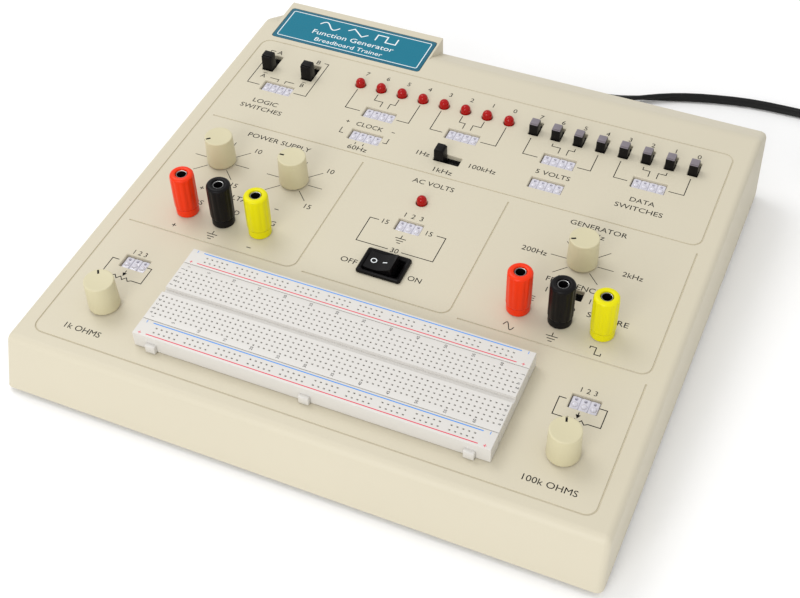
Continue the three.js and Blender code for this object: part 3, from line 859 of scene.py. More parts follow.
def section_frames():
    """Cutters for the fine grooves that frame each section of the panel."""
    rail_start = FRAME_LEFT + FRAME_GAP
    paths = [
        [
            (rail_start, ROW_BACK), (FRAME_RIGHT, ROW_BACK), (FRAME_RIGHT, FRAME_BACK),
            (FRAME_LEFT, FRAME_BACK), (FRAME_LEFT, FRAME_FRONT), (FRAME_RIGHT, FRAME_FRONT),
            (FRAME_RIGHT, ROW_FRONT - FRAME_GAP),
        ],
    ]
    runs = (
        (FRAME_RIGHT, COLUMN_RIGHT + FRAME_GAP),
        (COLUMN_RIGHT, COLUMN_LEFT + FRAME_GAP),
        (COLUMN_LEFT, rail_start),
    )
    for column, end in runs:
        paths.append([(column, ROW_BACK - FRAME_GAP), (column, ROW_FRONT), (end, ROW_FRONT)])
    half, deep = GROOVE_WIDTH / 2, GROOVE_DEPTH
    section = [(-half - 0.2, 0.3), (-half, 0), (-half * 0.55, -deep * 0.8), (0, -deep)]
    section += [(half * 0.55, -deep * 0.8), (half, 0), (half + 0.2, 0.3)]
    bm = bmesh.new()
    for corners in paths:
        sweep(bm, rounded_path(corners, FRAME_CORNER), section)
    return solid(bm)


def screw_places():
    """The middles of the four cover screws in the desk frame."""
    return [middle(f"case_screw_{i}", DESK) for i in range(1, 5)]


def top_case():
    """The shell with its tab, openings, grooves, label recess, cord hole and screw bosses."""
    body = combine(case_outside(), nameplate_tab(), "UNION")
    body = combine(body, case_inside(), "DIFFERENCE")
    body = combine(body, openings(), "DIFFERENCE")
    body = combine(body, section_frames(), "DIFFERENCE")
    bm = bmesh.new()
    margin = 0.3
    outline = rounded_box(
        label_high.x - label_low.x + 2 * margin,
        label_high.y - label_low.y + 2 * margin,
        1.8,
        (label_low.x + label_high.x) / 2,
        (label_low.y + label_high.y) / 2,
    )
    slab(bm, outline, -LABEL_RECESS, 1)
    body = cut(body, bm)
    bm = bmesh.new()
    cord_at = middle("strain_relief", DESK)
    wall_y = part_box("top_case")[1].y / MM
    turned(bm, [[0, -6], [4.2, -6], [4.2, 6], [0, 6]], sides=32)
    through = Matrix.Translation((cord_at.x, wall_y, cord_at.z)) @ Matrix.Rotation(math.pi / 2, 4, "X")
    bm.transform(PANEL.inverted() @ DESK @ through)
    body = cut(body, bm)
    bm = bmesh.new()
    for place in screw_places():
        below = PANEL.inverted() @ DESK @ Vector((place.x, place.y, 0))
        panel_z = 0 if place.y < 0 else -3.6
        rise = (panel_z - 1.4 - below.z) * math.cos(PANEL_TILT)
        boss = [[1.6, 5.3], [4, 5.3], [3.7, rise], [0, rise], [0, 15], [1.6, 14]]
        closed_turn(bm, boss, place.x, place.y, sides=24)
    bm.transform(PANEL.inverted() @ DESK)
    body = combine(body, solid(bm), "UNION")
    mesh = take_mesh(body)
    look = {"slot": "case_plastic", "smooth": 28}
    weighted(from_mesh("case_shell", mesh, PANEL, CASE, replaces="top_case", **look))


top_case()


def nameplate():
    """A film label: dark border, pale line, teal field, wave drawings and generic words."""
    low, high = label_low, label_high
    x, y = (low.x + high.x) / 2, (low.y + high.y) / 2
    wide, deep = high.x - low.x, high.y - low.y
    bm = bmesh.new()
    prism(bm, rounded_box(wide, deep, 1.6, x, y), low.z, high.z, 0.12)
    piece("nameplate_film", bm, PANEL, TEAL_EDGE, slot="label_film", replaces="nameplate")
    surface = high.z
    bm = bmesh.new()
    prism(bm, rounded_box(wide - 3.4, deep - 3.4, 1.2, x, y), surface - 0.01, surface + 0.03)
    print_level = surface + 0.03
    line = rounded_box(wide - 4.4, deep - 4.4, 0.9, x, y)
    stroke(bm, line, 0.45, print_level, closed=True, material=1)
    sine = [(-23 + i / 2, 5.6 + 2.6 * math.sin(math.pi * i / 12)) for i in range(25)]
    peak = [(-6, 5.6), (-3, 8.2), (3, 3.0), (6, 5.6)]
    square = [(11, 3.1), (11, 8.1), (17, 8.1), (17, 3.1), (23, 3.1), (23, 8.1)]
    for wave in (sine, peak, square):
        stroke(bm, [(x + dx, y + dy) for dx, dy in wave], 0.7, print_level, material=1)
    letter(bm, "Function Generator", x, y - 1.6, 48, 3.6, print_level, material=1)
    letter(bm, "Breadboard Trainer", x, y - 7.6, 40, 3.0, print_level, material=1)
    piece("nameplate_print", bm, PANEL, [TEAL, WHITE_INK], slot="label_film", smooth=20)


nameplate()


def base_plate():
    """The closing plate, with louvres and sunk screw wells."""
    low, high = span("base_plate", DESK)
    x, y = (low.x + high.x) / 2, (low.y + high.y) / 2
    bm = bmesh.new()
    outline = rounded_box(high.x - low.x, high.y - low.y, 3, x, y)
    slab(bm, outline, low.z, high.z)
    body = solid(bm)
    bm = bmesh.new()
    for place in screw_places():
        turned(bm, [[0, low.z - 1], [3.6, low.z - 1], [3.3, low.z + 0.6], [3.3, 4.4], [0, 4.4]],
               place.x, place.y, sides=32)
    for side in (-1, 1):
        for i in range(11):
            slot_y = y + 70 - i * 7
            ring = rounded_box(46, 2.6, 1.25, x + side * 62, slot_y, 4)
            slab(bm, ring, low.z - 1, high.z + 1)
    body = cut(body, bm)
    bm = bmesh.new()
    for place in screw_places():
        turned(bm, [[0, 3], [1.5, 3], [1.5, 7], [0, 7]], place.x, place.y, sides=20)
    body = cut(body, bm)
    mesh = take_mesh(body)
    weighted(from_mesh("base_cover", mesh, DESK, CASE, slot="case_plastic", replaces="base_plate"))


base_plate()


def feet_and_screws():
    """Domed rubber feet, and cross-head screws with threads."""
    for i in range(1, 5):
        at = middle(f"foot_{i}", DESK)
        bm = bmesh.new()
        profile = [[0, 0.35], [3.6, 0.35], [4, 0], [5.2, 0], [6.0, 0.35]]
        profile += [[6.5, 1.1], [6.5, 2.0], [6.3, 2.2], [0, 2.2]]
        turned(bm, profile, at.x, at.y, sides=40)
        piece(f"rubber_foot_{i}", bm, DESK, RUBBER, slot="foot_rubber", replaces=f"foot_{i}", smooth=40)
    for i, at in enumerate(screw_places(), 1):
        bm = bmesh.new()
        head = [[0, 3.0], [2.2, 2.8], [2.8, 3.1], [3.0, 3.6], [3.0, 4.1], [1.2, 4.1]]
        thread = [p for k in range(9) for p in ([1.45, 4.6 + k * 0.8], [1.05, 5.0 + k * 0.8])]
        turned(bm, [*head, *thread, [0.6, 11.9], [0, 12]], at.x, at.y, sides=28)
        body = solid(bm)
        cross = bmesh.new()
        for wide, deep in ((3.4, 0.7), (0.7, 3.4)):
            slab(cross, rounded_box(wide, deep, 0.2, at.x, at.y, 2), 1, 3.7)
        body = cut(body, cross)
        from_mesh(f"cover_screw_{i}", take_mesh(body), DESK, STEEL, slot="screw_steel",
                  replaces=f"case_screw_{i}", smooth=35)


feet_and_screws()

# ---- Knobs -----------------------------------------------------------------------------------

KNOB_FOOT, KNOB_TOP, KNOB_SKIRT, KNOB_CROWN = 0.8, 16.2, 7.2, 6.8


def knob(name, at):
    """A plain tapered knob with a dished top and a short pointer line over its rim."""
    body = KNOB_BODIES.get(name, f"{name}_knob")
    bm = bmesh.new()
    profile = [[0, -3.7], [2.9, -3.7], [3.0, KNOB_FOOT], [KNOB_SKIRT - 0.5, KNOB_FOOT]]
    profile += [[KNOB_SKIRT - 0.1, KNOB_FOOT + 0.2], [KNOB_SKIRT, KNOB_FOOT + 0.8]]
    profile += [*edge_curve(KNOB_CROWN, KNOB_TOP, 0.5, 6), [KNOB_CROWN - 1.2, KNOB_TOP - 0.03]]
    profile += [[KNOB_CROWN - 1.6, KNOB_TOP - 0.08], [0, KNOB_TOP - 0.1]]
    turned(bm, profile, sides=72)
    place = PANEL @ Matrix.Translation((at.x, at.y, 0))
    piece(f"{name}_knob_cap", bm, place, KNOB, body, "knob_plastic", f"knob_{name}", 40)
    bm = bmesh.new()
    outline = [(KNOB_CROWN - 2.9, KNOB_TOP - 0.07), (KNOB_CROWN - 1.2, KNOB_TOP - 0.02)]
    outline += [(KNOB_CROWN - 0.5, KNOB_TOP - 0.02), (KNOB_CROWN - 0.1, KNOB_TOP - 0.2)]
    outline += [(KNOB_CROWN, KNOB_TOP - 0.6)]
    raised = [(r + 0.015, z + 0.015) for r, z in outline]
    sunk = [(r - 0.5, z - 0.5) for r, z in outline]
    rings = [[(side * 0.45, r, z) for r, z in raised + sunk[::-1]] for side in (-1, 1)]
    loft(bm, rings)
    turn = Matrix.Rotation(-math.radians(POINTERS[name]), 4, "Z")
    piece(f"{name}_knob_pointer", bm, place @ turn, INK, body)


for knob_name, knob_at in KNOBS.items():
    knob(knob_name, knob_at)

# ---- Binding posts ---------------------------------------------------------------------------

CAP_RADIUS, RING_RADIUS, POST_TOP, POST_RING = 5.8, 5.45, 24.0, 4.2
POST_PLASTIC = {"red": RED, "black": BLACK, "yellow": YELLOW}


def binding_post(name, at):
    """A collar, a hollow metal stud with its nut, and a fluted cap that rises along the stud."""
    colour = name.split("_")[1]
    place = PANEL @ Matrix.Translation((at.x, at.y, 0))
    plastic, slot = POST_PLASTIC[colour], f"{colour}_plastic"
    bm = bmesh.new()
    ring = [[2.3, 0.3], [RING_RADIUS - 0.15, 0.3], [RING_RADIUS, 0.5]]
    ring += [*edge_curve(RING_RADIUS, POST_RING, 0.25, 3), [2.7, POST_RING]]
    closed_turn(bm, [*ring, [2.3, POST_RING - 0.3]], sides=56)
    node = f"post_base_{name}"
    piece(f"{name}_post_ring", bm, place, plastic, "case", slot, node, 35)
    bm = bmesh.new()
    stud = [[0, -9], [2.1, -9], [2.6, -8.5], [2.6, POST_TOP - 0.9], [2.45, POST_TOP - 0.62]]
    stud += [[2.3, POST_TOP - 0.66], [2.15, POST_TOP - 1.0], [2.1, 8.4], [1.5, 8], [0, 7.8]]
    turned(bm, stud, sides=40)
    # The inside of the stud's bore gets the black material: painted shade standing in for the dark deep in
    # the metal hole.
    for face in bm.faces:
        at_face = face.calc_center_median()
        if math.hypot(at_face.x, at_face.y) < 2.16 and 5 < at_face.z < POST_TOP - 0.9:
            face.material_index = 1
    slab(bm, circle(0, 0, 4.3, 6), -4.6, -2.8)
    piece(f"{name}_post_stud", bm, place, [STEEL, BLACK], "case", "screw_steel", (), 35)
    bm = bmesh.new()
    bottom = POST_RING + 0.3
    cap = [[2.9, bottom], [CAP_RADIUS - 0.4, bottom], [CAP_RADIUS - 0.12, bottom + 0.3]]
    turned_sides = [[CAP_RADIUS, bottom + 0.9], [CAP_RADIUS, 12], [CAP_RADIUS, POST_TOP - 2.2]]
    crown = [list(p) for p in arc(CAP_RADIUS - 1.65, POST_TOP - 1.6, 1.6, 12, 90, 6)]
    lip = [[3.25, POST_TOP], [2.95, POST_TOP - 0.25]]
    bore = [[2.9, POST_TOP - 0.6], [2.9, bottom + 0.4]]
    closed_turn(bm, cap + turned_sides + crown + lip + bore, sides=72)
    flutes = 12
    for v in bm.verts:
        radius = math.hypot(v.co.x, v.co.y)
        if radius > CAP_RADIUS - 0.7 and bottom + 0.5 < v.co.z < POST_TOP - 1.0:
            wave = 0.5 - 0.5 * math.cos(flutes * math.atan2(v.co.y, v.co.x))
            inset = 1 - 0.28 * wave ** 2 / radius
            v.co.x *= inset
            v.co.y *= inset
    piece(f"{name}_post_grip", bm, place, plastic, f"{name}_post_cap", slot, f"post_cap_{name}", 50)


for post_name, post_at in POSTS.items():
    binding_post(post_name, post_at)

# ---- Slide switches --------------------------------------------------------------------------

SLIDER_BOTTOM = -4.3


def slider(node):
    """A slider whose top steps up to a ribbed crown."""
    body, wide, long = SWITCHES[node]
    at = middle(node)
    across = min(wide, long) - 0.6
    turn = math.pi / 2 if wide > long else 0
    place = PANEL @ Matrix.Translation((at.x, at.y, 0)) @ Matrix.Rotation(turn, 4, "Z")
    half, reach = across / 2, SLIDER_LENGTH / 2
    top = span(node)[1].z
    bm = bmesh.new()
    block(bm, (-half, -reach, SLIDER_BOTTOM), (half, reach, -3.3), 0.1)
    block(bm, (-half, -reach, -3.4), (half, reach, top - 0.7), 0.12, 2)
    crown = 1 if "data" in node else 0
    side = half - 0.12
    block(bm, (-side, -reach + 0.7, top - 1.0), (side, reach - 0.15, top), 0.12, 2, crown)
    block(bm, (-side, -reach + 0.1, top - 1.0), (side, -reach + 1.1, top - 0.5), 0.12, 2, crown)
    materials = [BLACK, SLIDER_TOP_GREY]
    piece(f"{node}_button", bm, place, materials[:crown + 1], body, "black_plastic", node, 40)


def switch_housings():
    """Metal switch frames under the panel, with the dark slide track inside."""
    frames, tracks = bmesh.new(), bmesh.new()
    for node, (_, wide, long) in SWITCHES.items():
        x, y = slot_middle(node)
        outer = rounded_box(wide + 2.6, long + 2.6, 0.5, x, y, 2)
        inner = rounded_box(wide + 0.3, long + 0.3, 0.3, x, y, 2)
        rings = [[(px, py, z) for px, py in ring] for ring, z in
                 ((outer, -10.9), (outer, -2.8), (inner, -2.8), (inner, -4.7))]
        loft(frames, rings)
        pad = rounded_box(wide + 0.2, long + 0.2, 0.3, x, y, 2)
        prism(tracks, pad, -4.75, -4.4, 0.05)
        for end in (-1, 1):
            ear_x = x + (end * (wide / 2 + 2.4) if wide > long else 0)
            ear_y = y + (end * (long / 2 + 2.4) if wide <= long else 0)
            if "data" not in node:
                prism(frames, rounded_box(3.4, 3.4, 1, ear_x, ear_y, 3), -3.4, -2.8, 0.1)
    piece("switch_frames", frames, PANEL, STEEL, slot="screw_steel")
    piece("switch_tracks", tracks, PANEL, BLACK, slot="black_plastic")


for switch_node in SWITCHES:
    slider(switch_node)
switch_housings()

# ---- Lights ----------------------------------------------------------------------------------


def light_lens(name, at):
    """A domed lens on a collar under the panel."""
    bm = bmesh.new()
    dome = arc(0, LIGHT_HEIGHT - LIGHT_RADIUS, LIGHT_RADIUS, 0, 90, 10)
    profile = [[0, -4.6], [2.7, -4.6], [2.75, -3.6], [LIGHT_RADIUS, -3.5], *[list(p) for p in dome[:-1]]]
    turned(bm, [*profile, [0, LIGHT_HEIGHT]], at.x, at.y, sides=48)
    piece(f"{name}_lens", bm, PANEL, LENS, slot="red_lens", replaces=name, smooth=40)


def light_leads():
    """Two wires under each light."""
    bm = bmesh.new()
    for at in LIGHTS.values():
        for x in (-1.27, 1.27):
            block(bm, (at.x + x - 0.25, at.y - 0.25, -13.4), (at.x + x + 0.25, at.y + 0.25, -4.7), 0.05)
    piece("light_leads", bm, PANEL, STEEL, slot="screw_steel")


for light_name, light_at in LIGHTS.items():
    light_lens(light_name, light_at)
light_leads()

# ---- Wire connectors -------------------------------------------------------------------------

CONNECTOR_TOP = -1.2


def connector(name, x, y, cells):
    """A row of push-in cells: each has a wire hole at the back and a glossy release dome in front."""
    width = cells * CONNECTOR_CELL
    bm = bmesh.new()
    outline = rounded_box(width, CONNECTOR_DEPTH, 0.35, x, y, 3)
    prism(bm, outline, -10.6, CONNECTOR_TOP - 0.5, 0.1)
    body = solid(bm)
    cutters, domes, keys = bmesh.new(), bmesh.new(), bmesh.new()
    for i in range(cells):
        cell_x = x + (i - (cells - 1) / 2) * CONNECTOR_CELL
        outline = rounded_box(CONNECTOR_CELL - 0.3, CONNECTOR_DEPTH - 0.2, 0.7, cell_x, y, 4)
        prism(domes, outline, CONNECTOR_TOP - 0.9, CONNECTOR_TOP, 0.35)
        hole = [[0, -8], [0.5, -8], [0.5, CONNECTOR_TOP - 0.8], [0.8, CONNECTOR_TOP + 0.05]]
        hole += [[0.8, CONNECTOR_TOP + 1], [0, CONNECTOR_TOP + 1]]
        turned(cutters, hole, cell_x, y + 2.1, sides=24)
        dome = [[1.5, CONNECTOR_TOP - 0.3], [1.45, CONNECTOR_TOP + 0.1], [1.15, CONNECTOR_TOP + 0.5]]
        dome += [[0.6, CONNECTOR_TOP + 0.75], [0, CONNECTOR_TOP + 0.8]]
        turned(keys, [[0, CONNECTOR_TOP - 0.3], *dome], cell_x, y - 0.9, sides=24)
    body = combine(body, solid(domes), "UNION")
    body = cut(body, cutters)
    from_mesh(f"connector_{name}", take_mesh(body), PANEL, SOCKET, slot="board_plastic", smooth=40)
    piece(f"connector_{name}_keys", keys, PANEL, SOCKET, slot="board_plastic", smooth=60)


for connector_name, (cx, cy, cell_count) in CONNECTORS.items():
    connector(connector_name, cx, cy, cell_count)

# ---- Rocker switch ---------------------------------------------------------------------------

ROCKER_TILT = math.radians(-10)
ROCKER_PIVOT = -4.0


def rocker_switch():
    """A bezel with its body under the panel, and a key with a dipped top and two marks."""
    place = PANEL @ Matrix.Translation((ROCKER.x, ROCKER.y, 0))
    bm = bmesh.new()
    outer, rim = rounded_box(22, 15.8, 1.2), rounded_box(21.2, 15.0, 1.0)
    lip, cavity = rounded_box(18.6, 12.6, 0.9), rounded_box(17.4, 11.4, 0.7)
    body_outline = rounded_box(19, 13, 0.8)
    levels = [
        (body_outline, -20), (body_outline, 0.3), (outer, 0.3), (outer, 1.2), (rim, 1.95),
        (rounded_box(20.4, 14.2, 1), 2.2), (lip, 1.7), (cavity, 1.1), (cavity, -8.6),
    ]
    loft(bm, [[(x, y, z) for x, y in ring] for ring, z in levels])
    piece("rocker_bezel", bm, place, BLACK, slot="black_plastic", replaces="rocker_housing", smooth=30)

    reach, height, depth, dip = 6.9, 8.0, 10.6, 1.6

    def key_height(x):
        return height - dip + dip * (abs(x) / reach) ** 1.6

    crown = [(x, key_height(x)) for x in (reach * (1 - 2 * i / 16) for i in range(17))]
    outline = [*crown, (-reach + 0.9, 0), (0, -2.4), (reach - 0.9, 0)]
    bm = bmesh.new()
    half = depth / 2
    loft(bm, [[(x, y, z) for x, z in outline] for y in (-half, half)])
    ends = [f for f in bm.faces if len(f.verts) > 4]
    soften(bm, {e for f in ends for e in f.edges}, 0.35, 3)
    rocking = place @ Matrix.Translation((0, 0, ROCKER_PIVOT)) @ Matrix.Rotation(ROCKER_TILT, 4, "Y")
    piece("rocker_key", bm, rocking, BLACK, "power_rocker", "black_plastic", "rocker_button", 30)

    bm = bmesh.new()
    ring = circle(-3.7, 0, 1.25, 28)
    stroke(bm, ring, 0.42, 0, closed=True)
    stroke(bm, [(0.7, 0), (3.0, 0)], 0.5, 0)
    for v in bm.verts:
        v.co.z += key_height(v.co.x) + 0.03
    piece("rocker_marks", bm, rocking, WHITE_INK, "power_rocker")


rocker_switch()

# ---- Breadboard ------------------------------------------------------------------------------

PITCH = 2.54
COLUMNS = 63
HOLE = 1.15
HOLE_FUNNEL = 0.22
HOLE_DEPTH = 2.6
BOARD_TOP = 8.5
ROW_OFFSETS = [side * (3.81 + PITCH * i) for side in (-1, 1) for i in range(5)]
BUS_COLUMNS = [(i + i // 5 - 29) * PITCH for i in range(50)]
BUS_ROWS = [-PITCH / 2, PITCH / 2]


def strip_mesh(bm, low, high, xs, ys, groove=None):
    """A strip whose top is a grid with a funnel-mouthed square hole at each (x, y)."""
    cx, cy = (low.x + high.x) / 2, (low.y + high.y) / 2
    half = HOLE / 2
    lip = 0.5
    x_lines = sorted({low.x + lip, high.x - lip, *(cx + x + s * half for x in xs for s in (-1, 1))})
    y_lines = {low.y + lip, high.y - lip, *(cy + y + s * half for y in ys for s in (-1, 1))}
    groove_lines = [cy - groove, cy + groove] if groove else []
    y_lines = sorted(y_lines | set(groove_lines))
    top = high.z
    grid = [[bm.verts.new((x, y, top)) for x in x_lines] for y in y_lines]
    holes_x = {round(cx + x, 3) for x in xs}
    holes_y = {round(cy + y, 3) for y in ys}
    for r in range(len(y_lines) - 1):
        for c in range(len(x_lines) - 1):
            corners = (grid[r][c], grid[r][c + 1], grid[r + 1][c + 1], grid[r + 1][c])
            mid_x = round((x_lines[c] + x_lines[c + 1]) / 2, 3)
            mid_y = round((y_lines[r] + y_lines[r + 1]) / 2, 3)
            if mid_x in holes_x and mid_y in holes_y:
                rings = [corners]
                for inset, z in ((HOLE_FUNNEL, top - HOLE_FUNNEL), (HOLE_FUNNEL, top - HOLE_DEPTH)):
                    size = half - inset
                    signs = ((-1, -1), (1, -1), (1, 1), (-1, 1))
                    places = [(mid_x + sx * size, mid_y + sy * size, z) for sx, sy in signs]
                    rings.append([bm.verts.new(place) for place in places])
                for upper, lower in zip(rings, rings[1:]):
                    for i in range(4):
                        j = (i + 1) % 4
                        bm.faces.new((upper[i], upper[j], lower[j], lower[i]))
                bm.faces.new(rings[-1]).material_index = 1
            elif groove and abs(mid_y - cy) < groove:
                continue
            else:
                bm.faces.new(corners)
    if groove:
        lines = [[grid[y_lines.index(y)][c] for c in range(len(x_lines))] for y in groove_lines]
        floor_z = top - 1.7
        floors = [[bm.verts.new((v.co.x, v.co.y + s * 0.3, floor_z)) for v in line]
                  for line, s in zip(lines, (1, -1))]
        rows = [lines[0], floors[0], floors[1], lines[1]]
        for a, b in zip(rows, rows[1:]):
            for i in range(len(a) - 1):
                bm.faces.new((a[i], a[i + 1], b[i + 1], b[i]))
    rim = [e for e in bm.edges if len(e.link_faces) == 1]
    made = bmesh.ops.extrude_edge_only(bm, edges=rim)["geom"]
    skirt = {v for v in made if isinstance(v, bmesh.types.BMVert)}
    inner = lip + 0.01
    for v in skirt:
        v.co.x += lip * 0.8 * ((v.co.x > high.x - inner) - (v.co.x < low.x + inner))
        v.co.y += lip * 0.8 * ((v.co.y > high.y - inner) - (v.co.y < low.y + inner))
        v.co.z -= 0.07 if v.co.z > top - 0.01 else 0
    for drop, push in ((0.2, lip * 0.2), (None, 0)):
        rim = [e for e in bm.edges if len(e.link_faces) == 1]
        made = bmesh.ops.extrude_edge_only(bm, edges=rim)["geom"]
        for v in {v for v in made if isinstance(v, bmesh.types.BMVert)}:
            v.co.x += push * ((v.co.x > cx + 80) - (v.co.x < cx - 80))
            v.co.y += push * ((v.co.y > high.y - 0.2) - (v.co.y < low.y + 0.2))
            v.co.z = v.co.z - drop if drop else low.z
    rim = [e for e in bm.edges if len(e.link_faces) == 1]
    bmesh.ops.holes_fill(bm, edges=rim)


def breadboard():
    """The terminal strip, two bus strips with front tabs, and their printing."""
    low, high = span("terminal_strip")
    columns = [(i - (COLUMNS - 1) / 2) * PITCH for i in range(COLUMNS)]
    bm = bmesh.new()
    strip_mesh(bm, low, high, columns, ROW_OFFSETS, groove=1.6)
    look = {"slot": "board_plastic", "smooth": 25}
    piece("terminal_block", bm, PANEL, [BOARD, CLIP], replaces="terminal_strip", **look)
    centre = (low + high) / 2

    prints = bmesh.new()
    for side in (-1, 1):
        for i in (0, *range(4, COLUMNS, 5)):
            letter(prints, str(i + 1), centre.x + columns[i], centre.y + side * 16.1, height=1.35,
                   surface=BOARD_TOP, angle=90)
    for rows, names in ((ROW_OFFSETS[:5][::-1], "abcde"), (ROW_OFFSETS[5:], "fghij")):
        for y, name in zip(rows, names):
            for side in (-1, 1):
                letter(prints, name, centre.x + side * (columns[-1] + 2.2), centre.y + y, height=1.5,
                       surface=BOARD_TOP, angle=90)

    for name in ("front", "rear"):
        node = f"bus_strip_{name}"
        _, bus_high = span(node)
        bus_low = Vector((low.x, bus_high.y - 9.1, low.z))
        mid_y = (bus_low.y + bus_high.y) / 2
        bm = bmesh.new()
        strip_mesh(bm, bus_low, bus_high, BUS_COLUMNS, BUS_ROWS)
        if name == "front":
            for x in (-29 * PITCH, 0, 29 * PITCH):
                tab_x = centre.x + x
                block(bm, (tab_x - 2.4, bus_low.y - 2.0, low.z), (tab_x + 2.4, bus_low.y + 0.2, 4.6), 0.35)
        piece(f"bus_block_{name}", bm, PANEL, [BOARD, CLIP], replaces=node, **look)
        for sign, y, material in (("-", mid_y + 3.35, 1), ("+", mid_y - 3.35, 2)):
            ends = [(centre.x - 30.1 * PITCH, y), (centre.x + 30.1 * PITCH, y)]
            stroke(prints, ends, 0.5, BOARD_TOP, material=material)
            for side in (-1, 1):
                x = centre.x + side * 31.3 * PITCH
                bar = [(x, y - 0.75), (x, y + 0.75)]
                stroke(prints, bar, 0.3, BOARD_TOP, material=material)
                if sign == "+":
                    bar = [(x - 0.75, y), (x + 0.75, y)]
                    stroke(prints, bar, 0.3, BOARD_TOP + 0.001, material=material)
    piece("breadboard_print", prints, PANEL, [INK, BLUE_INK, RED_INK], smooth=20)


breadboard()

# ---- Printing on the panel -------------------------------------------------------------------

DIAL_INNER, DIAL_OUTER = 7.4, 15.0


def dial(bm, at, angles, labels):
    """Scale lines round a knob, and words at offsets from its middle."""
    for angle in angles:
        c, s = math.cos(math.radians(angle)), math.sin(math.radians(angle))
        stroke(bm, [(at.x + r * c, at.y + r * s) for r in (DIAL_INNER, DIAL_OUTER)], 0.32)
    for words, dx, dy, width in labels:
        letter(bm, words, at.x + dx, at.y + dy, width)


def ground_sign(bm, x, y):
    """Prints the sign for earth, hanging from (x, y + 2.2)."""
    stroke(bm, [(x, y + 2.2), (x, y)])
    for i, wide in enumerate((5.4, 3.7, 1.9)):
        stroke(bm, [(x - wide / 2, y - i * 1.5), (x + wide / 2, y - i * 1.5)])


def plus(bm, x, y, size):
    """Prints a plus."""
    stroke(bm, [(x - size, y), (x + size, y)])
    stroke(bm, [(x, y - size), (x, y + size)], surface=0.002)


def minus(bm, x, y, size):
    """Prints a minus."""
    stroke(bm, [(x - size, y), (x + size, y)])


def switch_wires(bm, xs, centre, top):
    """The printed wires from four lights or switches down to their connector."""
    level, jog, end = 198.3, 208.8, 204.7
    stroke(bm, [(xs[0], top), (xs[0], level), (centre - 10.5, level)])
    stroke(bm, [(xs[3], top), (xs[3], level), (centre + 10.0, level)])
    stroke(bm, [(xs[1], top), (xs[1], jog), (centre - 2.1, jog), (centre - 2.1, end)])
    stroke(bm, [(xs[2], top), (xs[2], jog), (centre + 2.1, jog), (centre + 2.1, end)])


def resistor_sign(bm, x, y, top, left, right):
    """A potentiometer drawing: wires down both sides, a zigzag and an arrow from the middle cell."""
    half = 5.2
    zigzag = [(x - half + i * half / 3.5, y + (0.9 if i % 2 else -0.9)) for i in range(1, 7)]
    points = [(x + left[1], top), (x + left[0], top), (x + left[0], y), (x - half, y), *zigzag]
    points += [(x + half, y), (x + right[0], y), (x + right[0], top), (x + right[1], top)]
    stroke(bm, points)
    stroke(bm, [(x, top - 5.0), (x, y + 2.6)])
    tip = [(x - 1.1, y + 3.3), (x, y + 1.2), (x + 1.1, y + 3.3)]
    slab(bm, tip, PRINT_BOTTOM, PRINT_TOP)


# Words on the panel, as their text, place and width; a width of None keeps the letters' own width
WORDS = (
    ("A", -116.6, 226.6, None), ("B", -93.7, 226.6, None),
    ("LOGIC", -105.1, 186.2, 13.9), ("SWITCHES", -105.0, 180.8, 23.4),
    ("DATA", 96.2, 186.6, 12.2), ("SWITCHES", 96.0, 180.8, 23.4),
    ("CLOCK", -47.0, 188.6, 14.6), ("60Hz", -46.1, 171.2, 10.4),
    ("1Hz", -14.0, 179.9, 6.8), ("1kHz", -0.1, 171.3, 9.8), ("100kHz", 17.4, 179.9, 13.8),
    ("5 VOLTS", 50.6, 188.8, 17.4),
    ("POWER SUPPLY", -84.3, 160.8, 34.6), ("VOLTAGE", -84.0, 116.4, 21),
    ("GENERATOR", 82.6, 161.4, 27.6), ("FREQUENCY", 83.2, 122.4, 26),
    ("1", 72.5, 115.8, None), ("10", 94.4, 115.8, None),
    ("AC VOLTS", -0.6, 160.5, 21.4), ("OFF", -17.4, 98.9, 8.1), ("ON", 15.3, 98.9, 6.5),
    ("1k OHMS", -108.4, 15.9, 18), ("100k OHMS", 108.3, 16.0, 23.1),
)
SMALL_WORDS = (("15", -11.9, 128.6), ("15", 10.4, 128.6), ("30", -0.4, 112.4))
SMALL_CAPITAL = 2.9

# Printed wires of the logic switches, the clock and the AC outlet
WIRES = (
    ((-119.4, 226.9), (-122, 226.9), (-122, 198.3), (-114.9, 198.3)),
    ((-90.6, 226.9), (-88, 226.9), (-88, 198.3), (-94.9, 198.3)),
    ((-112.1, 205.6), (-107.1, 205.6), (-107.1, 203.6)),
    ((-98.2, 205.6), (-103.0, 205.6), (-103.0, 203.6)),
    ((-59.8, 183.4), (-59.8, 179.4), (-57.7, 179.4)),
    ((-34.0, 183.4), (-34.0, 179.6), (-36.1, 179.6)),
    ((-48.6, 175.2), (-48.6, 173.6)),
    ((-44.4, 175.2), (-44.4, 173.6)),
    ((-15.4, 128.6), (-19.9, 128.6), (-19.9, 112.3), (-3.8, 112.3)),
    ((14.1, 128.6), (18.7, 128.6), (18.7, 112.3), (3.0, 112.3)),
)


